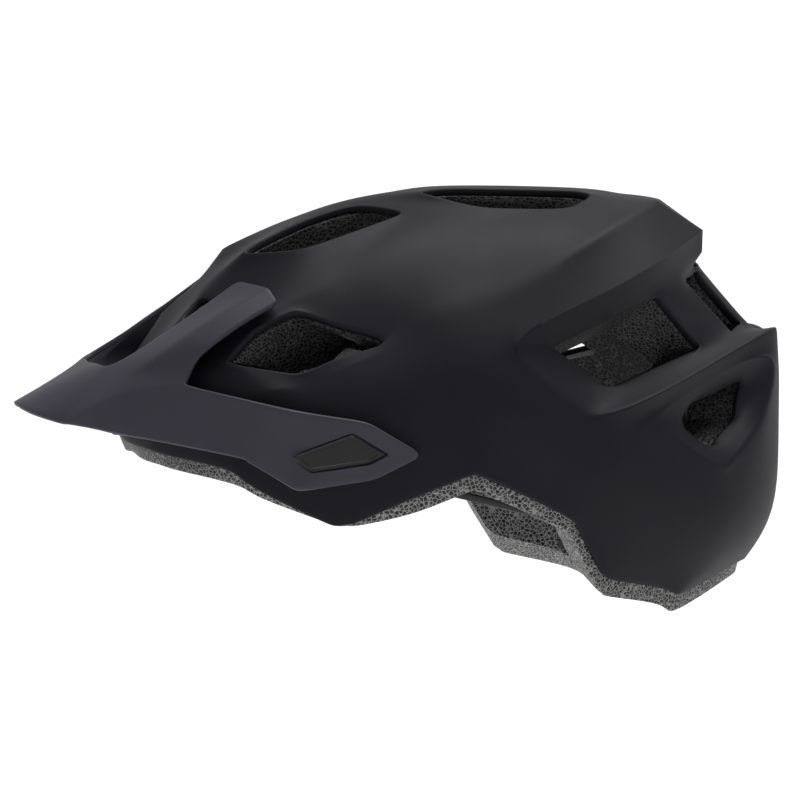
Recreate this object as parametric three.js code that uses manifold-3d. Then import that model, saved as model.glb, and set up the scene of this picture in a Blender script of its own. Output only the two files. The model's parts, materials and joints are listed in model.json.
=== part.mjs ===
// Trail cycling helmet: in-mould shell over an EPS liner, a tilting visor, a dial-adjusted
// head ring and webbing straps stowed inside the crown.
// Millimetres. +X is the wearer's left, -Y is forward, +Z is up, in the worn position.
// The origin is the centre of the head ring, on the vertical axis of the head.
import * as THREE from 'three';
import { mergeVertices } from 'three/addons/utils/BufferGeometryUtils.js';
import Module from 'manifold-3d';

const wasm = await Module();
wasm.setup();

// ---------------------------------------------------------------- driving dimensions
const SHELL_THICKNESS = 1.2;
const BOND_GAP = 0.8;             // between the shell and the liner
const CLEARANCE = 0.4;            // between neighbouring parts
const VISOR_THICKNESS = 2.4;
const MIRROR = [1, -1];           // left (+X) side first

// The head space inside the liner: an ellipsoid, longer below its centre.
const HEAD_CENTRE = [0, 0, 20];
const HEAD_HALF_WIDTH = 80;
const HEAD_HALF_LENGTH = 110;
const HEAD_TOP = 85;
const HEAD_DEPTH = 140;

// The visor turns on two side pivots that share one left-to-right axis.
const PIVOT_Y = -71;
const PIVOT_Z = 27;
const PIVOT_STUD_RADIUS = 6;
const PIVOT_BOLT_RADIUS = 2.4;
const STUD_END_X = 78;            // the studs reach this far into the liner
const FLANGE_FACE_X = 97.8;       // and stop here, just inside the side plates

// Head ring and its dial. The racks slide on a circle behind the head.
const RING_CENTRE_Y = 19;
const RACK_RADIUS = 70;
const DIAL_Z = -22;
const PINION_RADIUS = 5;
const RACK_OFFSET = 7;            // each rack runs this far above or below the dial's axis
const RING_INWARD = 2.6;          // the ring's middle lies this far inside the liner

// ---------------------------------------------------------------- colours
const finish = (color, roughness, metalness = 0) => ({ color, roughness, metalness });
const FINISHES = {
  shell: finish(0x2b2b2e, 0.62),
  foam: finish(0x4a4a4a, 0.9),
  visor: finish(0x3a3a40, 0.6),
  cap: finish(0x1c1c1e, 0.5),
  plastic: finish(0x161617, 0.5),
  knob: finish(0x232325, 0.55),
  pad: finish(0x1b1b1d, 0.95),
  webbing: finish(0x141415, 0.9),
  steel: finish(0x9a9a9c, 0.35, 0.9),
};

const group = new THREE.Group();

function addPart(name, geometry, finishName) {
  const look = new THREE.MeshStandardMaterial({ ...FINISHES[finishName], flatShading: true });
  const mesh = new THREE.Mesh(geometry, look);
  mesh.name = name;
  group.add(mesh);
  return mesh;
}

// ---------------------------------------------------------------- vector helpers
const add = (a, b) => a.map((value, i) => value + b[i]);
const sub = (a, b) => a.map((value, i) => value - b[i]);
const scale = (a, k) => a.map((value) => value * k);
const mix = (a, b, t) => a.map((value, i) => value + (b[i] - value) * t);
const mean = (list) => scale(list.reduce(add), 1 / list.length);
const cross = (a, b) => [a[1] * b[2] - a[2] * b[1], a[2] * b[0] - a[0] * b[2], a[0] * b[1] - a[1] * b[0]];
const unit = (a) => scale(a, 1 / Math.hypot(...a));

// ---------------------------------------------------------------- subdivision surface
// A cage is { points, faces, creases, corners, loops }. A point is [x, y, z, extra]; creases and
// corners say for how many levels an edge or a point stays sharp; loops maps a boundary edge to
// the opening it edges.
const edgeKey = (a, b) => (a < b ? `${a}_${b}` : `${b}_${a}`);

// Writes out both halves of a mirrored cage. Names starting with the centre mark lie at x = 0.
function mirroredCage(half) {
  const points = [];
  const indexOf = { left: {}, right: {} };
  for (const [name, point] of Object.entries(half.points)) {
    const full = [point[0], point[1], point[2], point[3] ?? 0];
    indexOf.left[name] = points.push(full) - 1;
    indexOf.right[name] = point[0] === 0
      ? indexOf.left[name]
      : points.push([-full[0], full[1], full[2], full[3]]) - 1;
  }
  const faces = [];
  for (const face of half.faces) {
    const names = face.split(' ');
    faces.push(names.map((name) => indexOf.left[name]));
    faces.push(names.map((name) => indexOf.right[name]).reverse());
  }
  const creases = {};
  const loops = {};
  const eachEdge = (line, visit) => {
    const names = line.split(' ');
    for (const side of ['left', 'right']) {
      for (let i = 0; i + 1 < names.length; i += 1) {
        visit(edgeKey(indexOf[side][names[i]], indexOf[side][names[i + 1]]), side);
      }
    }
  };
  for (const [line, sharpness] of half.creases) {
    eachEdge(line, (key) => { creases[key] = sharpness; });
  }
  for (const [opening, line] of Object.entries(half.loops)) {
    eachEdge(line, (key, side) => { loops[key] = `${opening}_${side}`; });
  }
  const corners = {};
  for (const [line, sharpness] of half.corners) {
    for (const name of line.split(' ')) {
      corners[indexOf.left[name]] = sharpness;
      corners[indexOf.right[name]] = sharpness;
    }
  }
  return { points, faces, creases, corners, loops };
}

// One Catmull-Clark step. Boundary edges and creases follow their own curve; corners stay put.
function subdivide(cage) {
  const { points, faces, creases, corners, loops } = cage;
  const facePoints = faces.map((face) => mean(face.map((i) => points[i])));
  const edges = new Map();
  faces.forEach((face, f) => {
    face.forEach((a, i) => {
      const b = face[(i + 1) % face.length];
      const key = edgeKey(a, b);
      if (!edges.has(key)) edges.set(key, { a, b, faces: [] });
      edges.get(key).faces.push(f);
    });
  });
  const isSharp = (key, edge) => edge.faces.length === 1 || (creases[key] ?? 0) > 0;
  const around = points.map(() => ({ faces: [], edges: [], sharp: [] }));
  faces.forEach((face, f) => face.forEach((i) => around[i].faces.push(f)));
  for (const [key, edge] of edges) {
    for (const [near, far] of [[edge.a, edge.b], [edge.b, edge.a]]) {
      around[near].edges.push(far);
      if (isSharp(key, edge)) around[near].sharp.push(far);
    }
  }
  const newPoints = points.map((point, i) => {
    const ring = around[i];
    if (ring.sharp.length > 2 || (corners[i] ?? 0) > 0) return point;
    if (ring.sharp.length === 2) {
      return mix(point, mean(ring.sharp.map((j) => points[j])), 1 / 4);
    }
    const n = ring.edges.length;
    const faceMean = mean(ring.faces.map((f) => facePoints[f]));
    const edgeMean = mean(ring.edges.map((j) => mix(point, points[j], 1 / 2)));
    return scale(add(add(faceMean, scale(edgeMean, 2)), scale(point, n - 3)), 1 / n);
  });
  const facePointAt = facePoints.map((point) => newPoints.push(point) - 1);
  const next = { points: newPoints, faces: [], creases: {}, corners: {}, loops: {} };
  for (const [i, sharpness] of Object.entries(corners)) {
    if (sharpness > 1) next.corners[i] = sharpness - 1;
  }
  const edgePointAt = new Map();
  for (const [key, edge] of edges) {
    const ends = mix(points[edge.a], points[edge.b], 1 / 2);
    const point = isSharp(key, edge) ? ends : mix(ends, mean(edge.faces.map((f) => facePoints[f])), 1 / 2);
    const at = newPoints.push(point) - 1;
    edgePointAt.set(key, at);
    for (const end of [edge.a, edge.b]) {
      if ((creases[key] ?? 0) > 1) next.creases[edgeKey(end, at)] = creases[key] - 1;
      if (loops[key]) next.loops[edgeKey(end, at)] = loops[key];
    }
  }
  faces.forEach((face, f) => face.forEach((b, i) => {
    const a = face[(i + face.length - 1) % face.length];
    const c = face[(i + 1) % face.length];
    next.faces.push([b, edgePointAt.get(edgeKey(b, c)), facePointAt[f], edgePointAt.get(edgeKey(a, b))]);
  }));
  return next;
}

// Moves the cage until the surface passes through the points that the cage was drawn with.
function fitToPoints(cage, rounds) {
  let points = cage.points;
  for (let round = 0; round < rounds; round += 1) {
    const surface = subdivide(subdivide({ ...cage, points }));
    points = points.map((point, i) => add(point, scale(sub(cage.points[i], surface.points[i]), 0.8)));
  }
  return { ...cage, points };
}

// Facing of a quad, as long as twice its area.
function facing(points, face) {
  const [a, b, c, d] = face.map((i) => points[i].slice(0, 3));
  return cross(sub(c, a), sub(d, b));
}

function vertexNormals(points, faces) {
  const normals = points.map(() => [0, 0, 0]);
  for (const face of faces) {
    const turn = facing(points, face);
    for (const i of face) normals[i] = add(normals[i], turn);
  }
  return normals.map(unit);
}

// How much further a point has to move along its normal for the faces around it to keep a
// given distance: more where the surface is folded.
function foldAllowances(points, faces, normals) {
  const sums = points.map(() => [0, 0]);
  for (const face of faces) {
    const turn = unit(facing(points, face));
    for (const i of face) {
      sums[i][0] += turn.reduce((sum, value, k) => sum + value * normals[i][k], 0);
      sums[i][1] += 1;
    }
  }
  return sums.map(([sum, count]) => 1 / Math.max(0.7, sum / count));
}

function boundaryEdges(faces) {
  const seen = new Map();
  for (const face of faces) {
    face.forEach((a, i) => {
      const b = face[(i + 1) % face.length];
      const key = edgeKey(a, b);
      seen.set(key, seen.has(key) ? null : [a, b]);
    });
  }
  return [...seen.entries()].filter(([, edge]) => edge);
}

// ---------------------------------------------------------------- meshes and solids
// Splits each face into triangles, a quad across its shorter diagonal.
function split(points, faces) {
  const length = (a, b) => Math.hypot(...sub(points[a], points[b]));
  return faces.flatMap((face) => {
    if (face.length === 4 && length(face[1], face[3]) < length(face[0], face[2])) {
      return [[face[1], face[2], face[3]], [face[3], face[0], face[1]]];
    }
    return face.slice(2).map((last, i) => [face[0], face[i + 1], last]);
  });
}

function polygonGeometry(points, faces) {
  const geometry = new THREE.BufferGeometry();
  geometry.setAttribute('position', new THREE.Float32BufferAttribute(points.flat(), 3));
  geometry.setIndex(split(points, faces).flat());
  return geometry;
}

function toSolid(geometry) {
  const bare = geometry.clone();
  bare.deleteAttribute('normal');
  bare.deleteAttribute('uv');
  const merged = mergeVertices(bare, 1e-4);
  return new wasm.Manifold(new wasm.Mesh({
    numProp: 3,
    vertProperties: new Float32Array(merged.attributes.position.array),
    triVerts: new Uint32Array(merged.index.array),
  }));
}

function toGeometry(solid) {
  const mesh = solid.getMesh();
  const geometry = new THREE.BufferGeometry();
  geometry.setAttribute('position', new THREE.Float32BufferAttribute(mesh.vertProperties, 3));
  geometry.setIndex([...mesh.triVerts]);
  return geometry;
}

const largest = (solid) => solid.decompose().sort((a, b) => b.volume() - a.volume())[0];

// Closes an open surface into a wall between its outer and its inner points.
function wallFaces(faces, innerStart, rims = () => []) {
  const closed = faces.map((face) => [...face]);
  for (const face of faces) closed.push(face.map((i) => i + innerStart).reverse());
  for (const [key, [a, b]] of boundaryEdges(faces)) {
    const steps = [[a, b], ...rims(key, a, b), [a + innerStart, b + innerStart]];
    for (let i = 0; i + 1 < steps.length; i += 1) {
      const [a0, b0] = steps[i];
      const [a1, b1] = steps[i + 1];
      closed.push([b0, a0, a1, b1]);
    }
  }
  return closed;
}

// Joins closed rings of points with equal counts into one capped solid.
function loft(rings) {
  const count = rings[0].length;
  const faces = [];
  for (let r = 0; r + 1 < rings.length; r += 1) {
    for (let i = 0; i < count; i += 1) {
      const j = (i + 1) % count;
      faces.push([r * count + i, r * count + j, (r + 1) * count + j, (r + 1) * count + i]);
    }
  }
  faces.push([...Array(count).keys()].reverse());
  faces.push([...Array(count).keys()].map((i) => (rings.length - 1) * count + i));
  const points = rings.flat();
  const geometry = polygonGeometry(points, faces);
  return toSolid(geometry).volume() < 0
    ? polygonGeometry(points, faces.map((face) => [...face].reverse()))
    : geometry;
}

// A flat strip of webbing or moulded band. Each point carries its own facing direction.
function ribbon(points, facings, width, thickness) {
  const rings = points.map((point, i) => {
    const before = points[Math.max(i - 1, 0)];
    const after = points[Math.min(i + 1, points.length - 1)];
    const along = unit(sub(after, before));
    const across = unit(cross(along, facings[i]));
    const out = unit(cross(across, along));
    const w = typeof width === 'function' ? width(i / (points.length - 1)) : width;
    const corner = (u, v) => add(point, add(scale(across, u * w / 2), scale(out, v * thickness / 2)));
    return [corner(-1, -1), corner(1, -1), corner(1, 1), corner(-1, 1)];
  });
  return loft(rings);
}

function curvePoints(controls, count) {
  const curve = new THREE.CatmullRomCurve3(controls.map((p) => new THREE.Vector3(...p)), false, 'centripetal');
  return curve.getSpacedPoints(count).map((p) => p.toArray());
}

function cylinderAlong(axis, radius, length, centre, sides = 24) {
  const geometry = new THREE.CylinderGeometry(radius, radius, length, sides);
  if (axis === 'x') geometry.rotateZ(-Math.PI / 2);
  if (axis === 'z') geometry.rotateX(Math.PI / 2);
  return geometry.translate(...centre);
}

function turned(profile, axis, centre, sides = 28) {
  const geometry = new THREE.LatheGeometry(profile.map(([r, h]) => new THREE.Vector2(r, h)), sides);
  if (axis === 'x') geometry.rotateZ(-Math.PI / 2);
  if (axis === '-x') geometry.rotateZ(Math.PI / 2);
  if (axis === 'z') geometry.rotateX(Math.PI / 2);
  return geometry.translate(...centre);
}

const block = (size, centre) => new THREE.BoxGeometry(...size).translate(...centre);

// ---------------------------------------------------------------- head space
// The point of the head surface in the direction of a given point, pulled in by a distance.
function headPoint(point, inward = 0) {
  const away = sub(point.slice(0, 3), HEAD_CENTRE);
  const height = away[2] > 0 ? HEAD_TOP : HEAD_DEPTH;
  const reach = 1 / Math.hypot(away[0] / HEAD_HALF_WIDTH, away[1] / HEAD_HALF_LENGTH, away[2] / height);
  const length = Math.hypot(...away);
  return add(HEAD_CENTRE, scale(away, reach - inward / length));
}

// ---------------------------------------------------------------- shell cage, left half
// Fourth number: how far the liner's rim hangs below the shell edge at that point.
const SHELL_POINTS = {
  // Ridge along the centre plane, from the brow over the crown to the nape.
  c0: [0, -144, 29, 8], c1: [0, -139, 52], c2: [0, -128, 68], c3: [0, -111, 89], c4: [0, -92, 105],
  c5: [0, -66, 120], c6: [0, -40, 128], c7: [0, -20, 131], c8: [0, 0, 133], c9: [0, 53, 132],
  c10: [0, 76, 129.5], c11: [0, 92, 127], tailTop: [0, 108, 115], tailLow: [0, 109, 103],
  barTop: [0, 111, 98], barLow: [0, 133, 73], finTop: [0, 143, 69], back: [0, 147, 22],
  napeUp: [0, 144, -8], nape: [0, 131, -31, 9],
  // Edge of the shell, from beside the brow to beside the nape.
  e1: [16, -144, 28, 8], e2: [31, -142, 27, 8], e3: [44, -138, 26, 8], e4: [57, -130, 24, 8],
  e5: [76, -111, 20, 8], e6: [82, -101, 13, 6], e7: [93, -71, -2, 2], e8: [95, -63, -1, 3],
  e9: [99, -40, 9, 8], e10: [103, -15, 19, 8], e11: [103, -6, 16, 8], e12: [99, 24, 1, 8],
  e13: [97, 30, -4, 8], e14: [90, 43, -24, 10], e15: [87, 48, -28, 10], e16: [70, 78, -35, 10],
  e17: [62, 88, -37, 11], e18: [30, 121, -29, 10],
  // Front: the row above the edge, then the crown rib between the vents and the groove.
  d1: [18, -139, 53], d2: [38, -135, 54], b1: [56, -130, 54], b2: [54, -117, 68],
  b3: [64, -104, 77], b4: [64, -83, 87], b5: [63, -62, 95], b6: [62, -44, 102],
  b7: [61, -22, 107], b8: [60, 16, 113],
  // Front vent, first and second crown vents.
  f1: [26, -122, 77], f2: [20, -112, 87], f3: [39, -104, 84], f4: [45, -112, 74],
  p1: [24, -96, 105], p2: [16, -69, 118], p3: [14, -44, 125], p4: [29, -27, 122],
  p5: [41, -48, 115], p6: [45, -74, 107],
  g1: [22, -19, 130], g2: [12, -3, 132], g3: [12, 47, 131], g4: [26, 56, 129],
  g5: [38, 41, 123.5], g6: [38, 4, 124],
  // Front side vent and the shoulder line below it.
  s1: [70, -112, 62], s2: [69, -99, 76], s3: [68, -81, 84], s4: [75, -63, 77],
  s5: [82, -47, 71], s6: [82, -66, 64], s7: [82, -82, 57],
  a1: [80, -102, 49], a2: [83.5, -83, 53], a3: [85, -64, 61], a4: [85, -43, 70],
  a5: [84, -24, 83], a6: [82, 1, 90], a7: [76, 28, 103], a8: [66, 48, 113],
  a9: [52, 64, 120], a10: [33, 82, 127],
  m1: [85, -90, 32], m2: [91, -73, 36], m3: [94, -58, 41], m4: [96, -40, 48], m5: [99, -14, 55],
  m6: [102, 8, 38], m7: [98, 38, 29],
  // Recess of the rear side vents: its upper edge, its openings and the fin under it.
  l0: [96, 4, 66], l1: [91, 17, 78], l2: [84, 43, 89], l3: [68, 73, 102], l4: [33, 103, 114],
  l5: [32, 103, 104],
  h1: [87, 21, 68], h2: [80, 47, 79], h3: [64, 74, 88], h4: [54, 96, 65], h5: [83, 47, 50],
  j1: [38, 93, 93], j2: [15, 106, 96], j3: [13, 127, 73], j4: [30, 117, 70],
  r1: [97, 35, 40], r2: [89, 66, 48], r3: [33, 133, 71],
  // Rear lower vent and the panel around it.
  w1: [91, 62, 38], w2: [40, 129, 61], w3: [44, 128, 35], w4: [72, 101, 14],
  v1: [75, 75.5, 38.5], v2: [41, 118, 50.5], v3: [47, 113.5, 34.5], v4: [65, 95.5, 23],
  k1: [98, 39, 12], k2: [91, 60, 6], k3: [76, 92, -8], k4: [50, 122, -9],
};

const SHELL_FACES = [
  // brow
  'c0 e1 d1 c1', 'e1 e2 d2 d1', 'e2 e3 e4 b1 d2', 'e4 e5 a1 b1',
  'c1 d1 f1 c2', 'd1 d2 f4 f1', 'd2 b1 b2 f4', 'c2 f1 f2 c3', 'f4 b2 b3 f3',
  // centre band
  'c3 f2 p1 c4', 'c4 p1 p2 c5', 'c5 p2 p3 c6', 'c6 p3 g1 c7', 'c7 g1 g2 c8', 'c8 g2 g3 c9',
  'c9 g3 g4 c10', 'c10 g4 a9 a10', 'c10 a10 c11',
  // crown rib
  'f2 f3 p6 p1', 'f3 b3 b4 p6', 'p6 b4 b5 p5', 'p5 b5 b6 p4', 'p4 b6 b7 g6', 'p3 p4 g6 g1',
  'g6 b7 b8 g5', 'g5 b8 a7 a8', 'g4 g5 a8 a9', 'b7 a5 a6 b8', 'b8 a6 a7',
  // around the front side vent
  'b1 a1 s1 b2', 'b2 s1 s2 b3', 'b3 s2 s3 b4', 'b4 s3 s4 b5', 'b5 s4 s5 b6', 'b6 s5 a4 a5 b7',
  's1 a1 a2 s7', 's7 a2 a3 s6', 's6 a3 a4 s5',
  // side panel
  'e5 e6 m1 a1', 'a1 m1 m2 a2', 'e6 e7 m2 m1', 'a2 m2 m3 a3', 'e7 e8 m3 m2', 'a3 m3 m4 a4',
  'e8 e9 m4 m3', 'a4 m4 m5 a5', 'e9 e10 m5 m4', 'a5 m5 l0 a6', 'm5 m6 r1 l0',
  'e10 e11 e12 m6 m5', 'e12 k1 m7 m6', 'm6 m7 r1', 'e12 e13 e14 k1', 'k1 e14 e15 k2', 'k1 k2 w1 m7',
  // upper side panel and tail
  'a6 l0 l1 a7', 'a7 l1 l2 a8', 'a8 l2 l3 a9', 'a9 l3 l4 a10', 'c11 a10 l4 tailTop',
  'tailTop l4 l5 tailLow', 'tailLow l5 j1 j2 barTop',
  // recess
  'l0 h1 l1', 'l1 h1 h2 l2', 'l2 h2 h3 l3', 'l3 h3 j1 l5 l4', 'l0 r1 h5 h1', 'h3 h4 j4 j1',
  'j2 j3 barLow barTop', 'r1 r2 h4 h5', 'r2 r3 j4 h4', 'r3 finTop barLow j3 j4',
  // fin, rear lower vent and nape
  'r1 m7 w1 r2', 'r2 w1 w2 r3', 'w1 v1 v2 w2', 'w2 v2 v3 w3', 'w3 v3 v4 w4', 'w4 v4 v1 w1',
  'r3 w2 w3 back finTop', 'w3 k4 napeUp back', 'w3 w4 k3 k4', 'w4 w1 k2 k3',
  'k2 e15 e16 k3', 'k3 e16 e17 e18 k4', 'k4 e18 nape napeUp',
];

// Openings of the shell, each as the closed line of its edge.
const SHELL_LOOPS = {
  rim: 'c0 e1 e2 e3 e4 e5 e6 e7 e8 e9 e10 e11 e12 e13 e14 e15 e16 e17 e18 nape',
  front: 'f1 f2 f3 f4 f1',
  crown_front: 'p1 p2 p3 p4 p5 p6 p1',
  crown_rear: 'g1 g2 g3 g4 g5 g6 g1',
  side_front: 's1 s2 s3 s4 s5 s6 s7 s1',
  side_rear: 'h1 h2 h3 h4 h5 h1',
  tail: 'j1 j2 j3 j4 j1',
  lower_rear: 'v1 v2 v3 v4 v1',
};

// Feature lines and how many subdivision levels each stays sharp.
const SHELL_CREASES = [
  ['a1 a2 a3 a4 a5', 2], ['a5 a6 a7', 1], ['a7 a8 a9 a10', 2],
  ['b1 b2 b3 b4 b5', 1],
  ['l0 l1 l2 l3 l4 tailTop', 3], ['l4 l5 tailLow', 3], ['l0 r1 r2 r3 finTop', 3],
  ['a10 c11', 2], ['a10 l4', 2],
  ['w1 w2 w3 w4 w1', 3], ['l5 j1', 2], ['tailLow barTop', 1],
];

// Points that stay sharp, and for how many levels.
const SHELL_CORNERS = [
  ['f1 f2 f3 f4', 1], ['p1 p3 p4 p6', 1], ['g1 g2 g3 g4 g5 g6', 1],
  ['s1 s2 s3 s7', 2], ['s4 s5 s6', 1], ['h1 h2 h3 h4 h5', 2],
  ['j1 j2 j3 j4', 0], ['v1 v2 v3 v4', 0], ['w1 w2 w3 w4', 0],
  ['e7 e8 e10 e11 e13 e14 e15 r1', 2], ['l0', 1],
];

const SHELL_HALF = {
  points: SHELL_POINTS, faces: SHELL_FACES, loops: SHELL_LOOPS, creases: SHELL_CREASES,
  corners: SHELL_CORNERS,
};
const shellSurface = subdivide(fitToPoints(mirroredCage(SHELL_HALF), 6));
const shellNormals = vertexNormals(shellSurface.points, shellSurface.faces);
const shellTriangles = split(shellSurface.points, shellSurface.faces);
const shellFold = foldAllowances(shellSurface.points, shellSurface.faces, shellNormals);
const shellLayer = (depth) => shellSurface.points.map(
  (point, i) => sub(point.slice(0, 3), scale(shellNormals[i], depth * shellFold[i])),
);

// ---------------------------------------------------------------- shell and liner
// Ducts narrow inwards towards one end: [end kept, share of the length kept at the head].
const DUCT_SLANT = {
  side_front: ['rear', 0.6], tail: ['front', 0.8],
};

function linerInside() {
  const inside = shellSurface.points.map((point) => headPoint(point));
  const members = {};
  for (const [key, opening] of Object.entries(shellSurface.loops)) {
    (members[opening] ??= new Set()).add(...key.split('_').slice(0, 1).map(Number));
    members[opening].add(Number(key.split('_')[1]));
  }
  for (const [opening, set] of Object.entries(members)) {
    const slant = DUCT_SLANT[opening.replace(/_(left|right)$/, '')];
    if (!slant) continue;
    const along = [...set].map((i) => inside[i][1]);
    const kept = slant[0] === 'front' ? Math.min(...along) : Math.max(...along);
    for (const i of set) {
      const moved = [inside[i][0], kept + (inside[i][1] - kept) * slant[1], inside[i][2]];
      inside[i] = headPoint(moved);
    }
  }
  return inside;
}

function buildShell() {
  const points = [...shellLayer(0), ...shellLayer(SHELL_THICKNESS)];
  return polygonGeometry(points, wallFaces(shellTriangles, shellSurface.points.length));
}

function buildLiner() {
  const count = shellSurface.points.length;
  const outer = shellLayer(SHELL_THICKNESS + BOND_GAP);
  const inside = linerInside();
  const points = [...outer, ...inside];
  const rimOf = {};
  for (const [key, opening] of Object.entries(shellSurface.loops)) {
    if (!opening.startsWith('rim')) continue;
    for (const i of key.split('_').map(Number)) {
      if (rimOf[i] !== undefined) continue;
      const drop = shellSurface.points[i][3];
      const hung = add(mix(outer[i], inside[i], 0.1), [0, 0, -drop]);
      rimOf[i] = points.push(hung) - 1;
      points[i + count] = add(headPoint(hung), [0, 0, 1.5]);
    }
  }
  const rims = (key, a, b) => (shellSurface.loops[key].startsWith('rim') ? [[rimOf[a], rimOf[b]]] : []);
  return polygonGeometry(points, wallFaces(shellTriangles, count, rims));
}

// Bores the sockets of the two visor studs.
function withStudSockets(geometry) {
  let solid = toSolid(geometry);
  const depth = FLANGE_FACE_X - STUD_END_X + 2 * CLEARANCE;
  for (const side of MIRROR) {
    const centre = [side * (STUD_END_X + FLANGE_FACE_X) / 2, PIVOT_Y, PIVOT_Z];
    solid = solid.subtract(toSolid(cylinderAlong('x', PIVOT_STUD_RADIUS + CLEARANCE, depth, centre)));
  }
  return toGeometry(largest(solid));
}

addPart('outer_shell', withStudSockets(buildShell()), 'shell');
addPart('foam_liner', withStudSockets(buildLiner()), 'foam');

// ---------------------------------------------------------------- visor cage, left half
// Fourth number: how much thicker the plate is there, for the pivots.
const VISOR_POINTS = {
  // Nose, top panel and the edge behind it, between the arms.
  n0: [0, -187, 43], n1: [20, -184, 41], n2: [36, -173, 37],
  t0: [0, -157, 59], t1: [20, -156, 59.5], t2: [37, -152, 60],
  o1: [58, -143, 58],
  // Line where the top panel meets the side panel, then the outline of the side panel.
  q1: [55, -156, 47], q2: [66, -138, 52], q3: [71, -128.5, 53],
  z1: [62, -155, 35], z2: [87, -113, 27], z3: [91, -106, 24.5, 1], z4: [102.5, -87.5, 13, 1.2],
  z5: [103, -56, 17, 1.2], z6: [103, -37, 26, 1.2], y1: [101, -89.5, 44, 1.2], y2: [103, -59, 39, 1.2],
  // Arms: inner edge, outer edge and the foot of the outer skirt.
  i1: [38, -135, 70], i2: [39, -117, 82], i3: [40, -100, 94],
  o2: [62, -131, 69], o3: [64, -111, 82], o4: [63, -92, 92],
  k2: [69, -124.5, 61], k3: [71, -118.5, 69], k4: [71, -104.5, 79], k5: [70, -90, 87],
};
const VISOR_FACES = [
  'n0 n1 t1 t0', 'n1 n2 t2 t1', 'n2 q1 o1 t2', 't2 o1 o2 i1', 'i1 o2 o3 i2', 'i2 o3 o4 i3',
  'q1 q2 o1', 'o1 q2 q3 k2', 'o1 k2 k3 o2', 'o2 k3 k4 o3', 'o3 k4 k5 o4',
  'n2 z1 q1', 'q1 z1 z2 q2', 'q2 z2 q3', 'z2 z3 y1 q3', 'z3 z4 y1', 'y1 z4 z5 y2', 'y2 z5 z6',
];
const VISOR_CREASES = [['n2 q1 q2 q3', 2], ['o1 o2 o3 o4', 2]];
const VISOR_CORNERS = [
  ['n2 z1', 2], ['z3 z4 z5 z6', 2], ['y1 y2', 2], ['i3 o4 k5', 2], ['q3', 1],
];
// Outline of the cap's pocket in each side plate, as [y, z].
const CAP_OUTLINE = [[-91, 26.5], [-65, 35.5], [-50, 26.5], [-58, 22.5], [-82, 19.5]];
const POCKET_FLOOR_X = 100.6;

function plateAlongX(outline, side, from, to) {
  const shape = new THREE.Shape(outline.map(([y, z]) => new THREE.Vector2(y, z)));
  const plate = new THREE.ExtrudeGeometry(shape, { depth: to - from, bevelEnabled: false });
  // (x, y, depth) of the plate becomes (depth, y, z) of the helmet.
  plate.applyMatrix4(new THREE.Matrix4().set(0, 0, 1, from, 1, 0, 0, 0, 0, 1, 0, 0, 0, 0, 0, 1));
  return side > 0 ? plate : mirrored(plate);
}

function mirrored(geometry) {
  const flipped = geometry.clone().scale(-1, 1, 1);
  const solid = mergeVertices(bareCopy(flipped), 1e-4);
  const index = [...solid.index.array];
  for (let i = 0; i < index.length; i += 3) [index[i], index[i + 1]] = [index[i + 1], index[i]];
  solid.setIndex(index);
  return solid;
}

function bareCopy(geometry) {
  const bare = geometry.clone();
  bare.deleteAttribute('normal');
  bare.deleteAttribute('uv');
  return bare;
}

function shrunkOutline(outline, by) {
  const middle = mean(outline);
  return outline.map((point) => {
    const away = sub(point, middle);
    return add(middle, scale(away, 1 - by / Math.hypot(...away)));
  });
}

function buildVisor() {
  const cage = mirroredCage({
    points: VISOR_POINTS, faces: VISOR_FACES, creases: VISOR_CREASES, corners: VISOR_CORNERS, loops: {},
  });
  const surface = subdivide(subdivide(fitToPoints(cage, 6)));
  const normals = vertexNormals(surface.points, surface.faces);
  const outer = surface.points.map((point) => point.slice(0, 3));
  const inner = outer.map((point, i) => {
    const thickness = VISOR_THICKNESS + surface.points[i][3];
    return sub(point, scale(normals[i], thickness));
  });
  let visor = toSolid(polygonGeometry([...outer, ...inner], wallFaces(surface.faces, outer.length)));
  for (const side of MIRROR) {
    visor = visor.subtract(toSolid(plateAlongX(CAP_OUTLINE, side, POCKET_FLOOR_X, POCKET_FLOOR_X + 10)));
    const hole = cylinderAlong('x', PIVOT_BOLT_RADIUS + CLEARANCE, 20, [side * POCKET_FLOOR_X, PIVOT_Y, PIVOT_Z]);
    visor = visor.subtract(toSolid(hole));
  }
  return toGeometry(visor);
}

addPart('visor', buildVisor(), 'visor');

// ---------------------------------------------------------------- visor pivots
// A stud with a flange is fixed in the shell; a bolt joins the side plate to it, under a cap.
function buildPivot(side, label) {
  const axis = side > 0 ? 'x' : '-x';
  const place = [0, PIVOT_Y, PIVOT_Z];
  const stud = [
    [0, STUD_END_X], [PIVOT_STUD_RADIUS, STUD_END_X], [PIVOT_STUD_RADIUS, 95.8], [9, 95.8],
    [9, FLANGE_FACE_X], [PIVOT_BOLT_RADIUS + 0.3, FLANGE_FACE_X], [PIVOT_BOLT_RADIUS + 0.3, 86], [0, 86],
  ];
  addPart(`visor_stud_${label}`, turned(stud, axis, place), 'plastic');
  const bolt = [
    [0, 87], [PIVOT_BOLT_RADIUS, 87], [PIVOT_BOLT_RADIUS, 100.9], [4.4, 100.9], [4.4, 101.5], [0, 101.5],
  ];
  addPart(`visor_bolt_${label}`, turned(bolt, axis, place), 'steel');
  const cap = plateAlongX(shrunkOutline(CAP_OUTLINE, 0.8), side, 101.8, 102.7);
  addPart(`visor_cap_${label}`, cap, 'cap');
}

// ---------------------------------------------------------------- head ring
// The ring dips from the brow to the nape.
const ringHeight = (y) => 3.5 - (y < 0 ? 0.22 : 0.3) * y;

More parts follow.
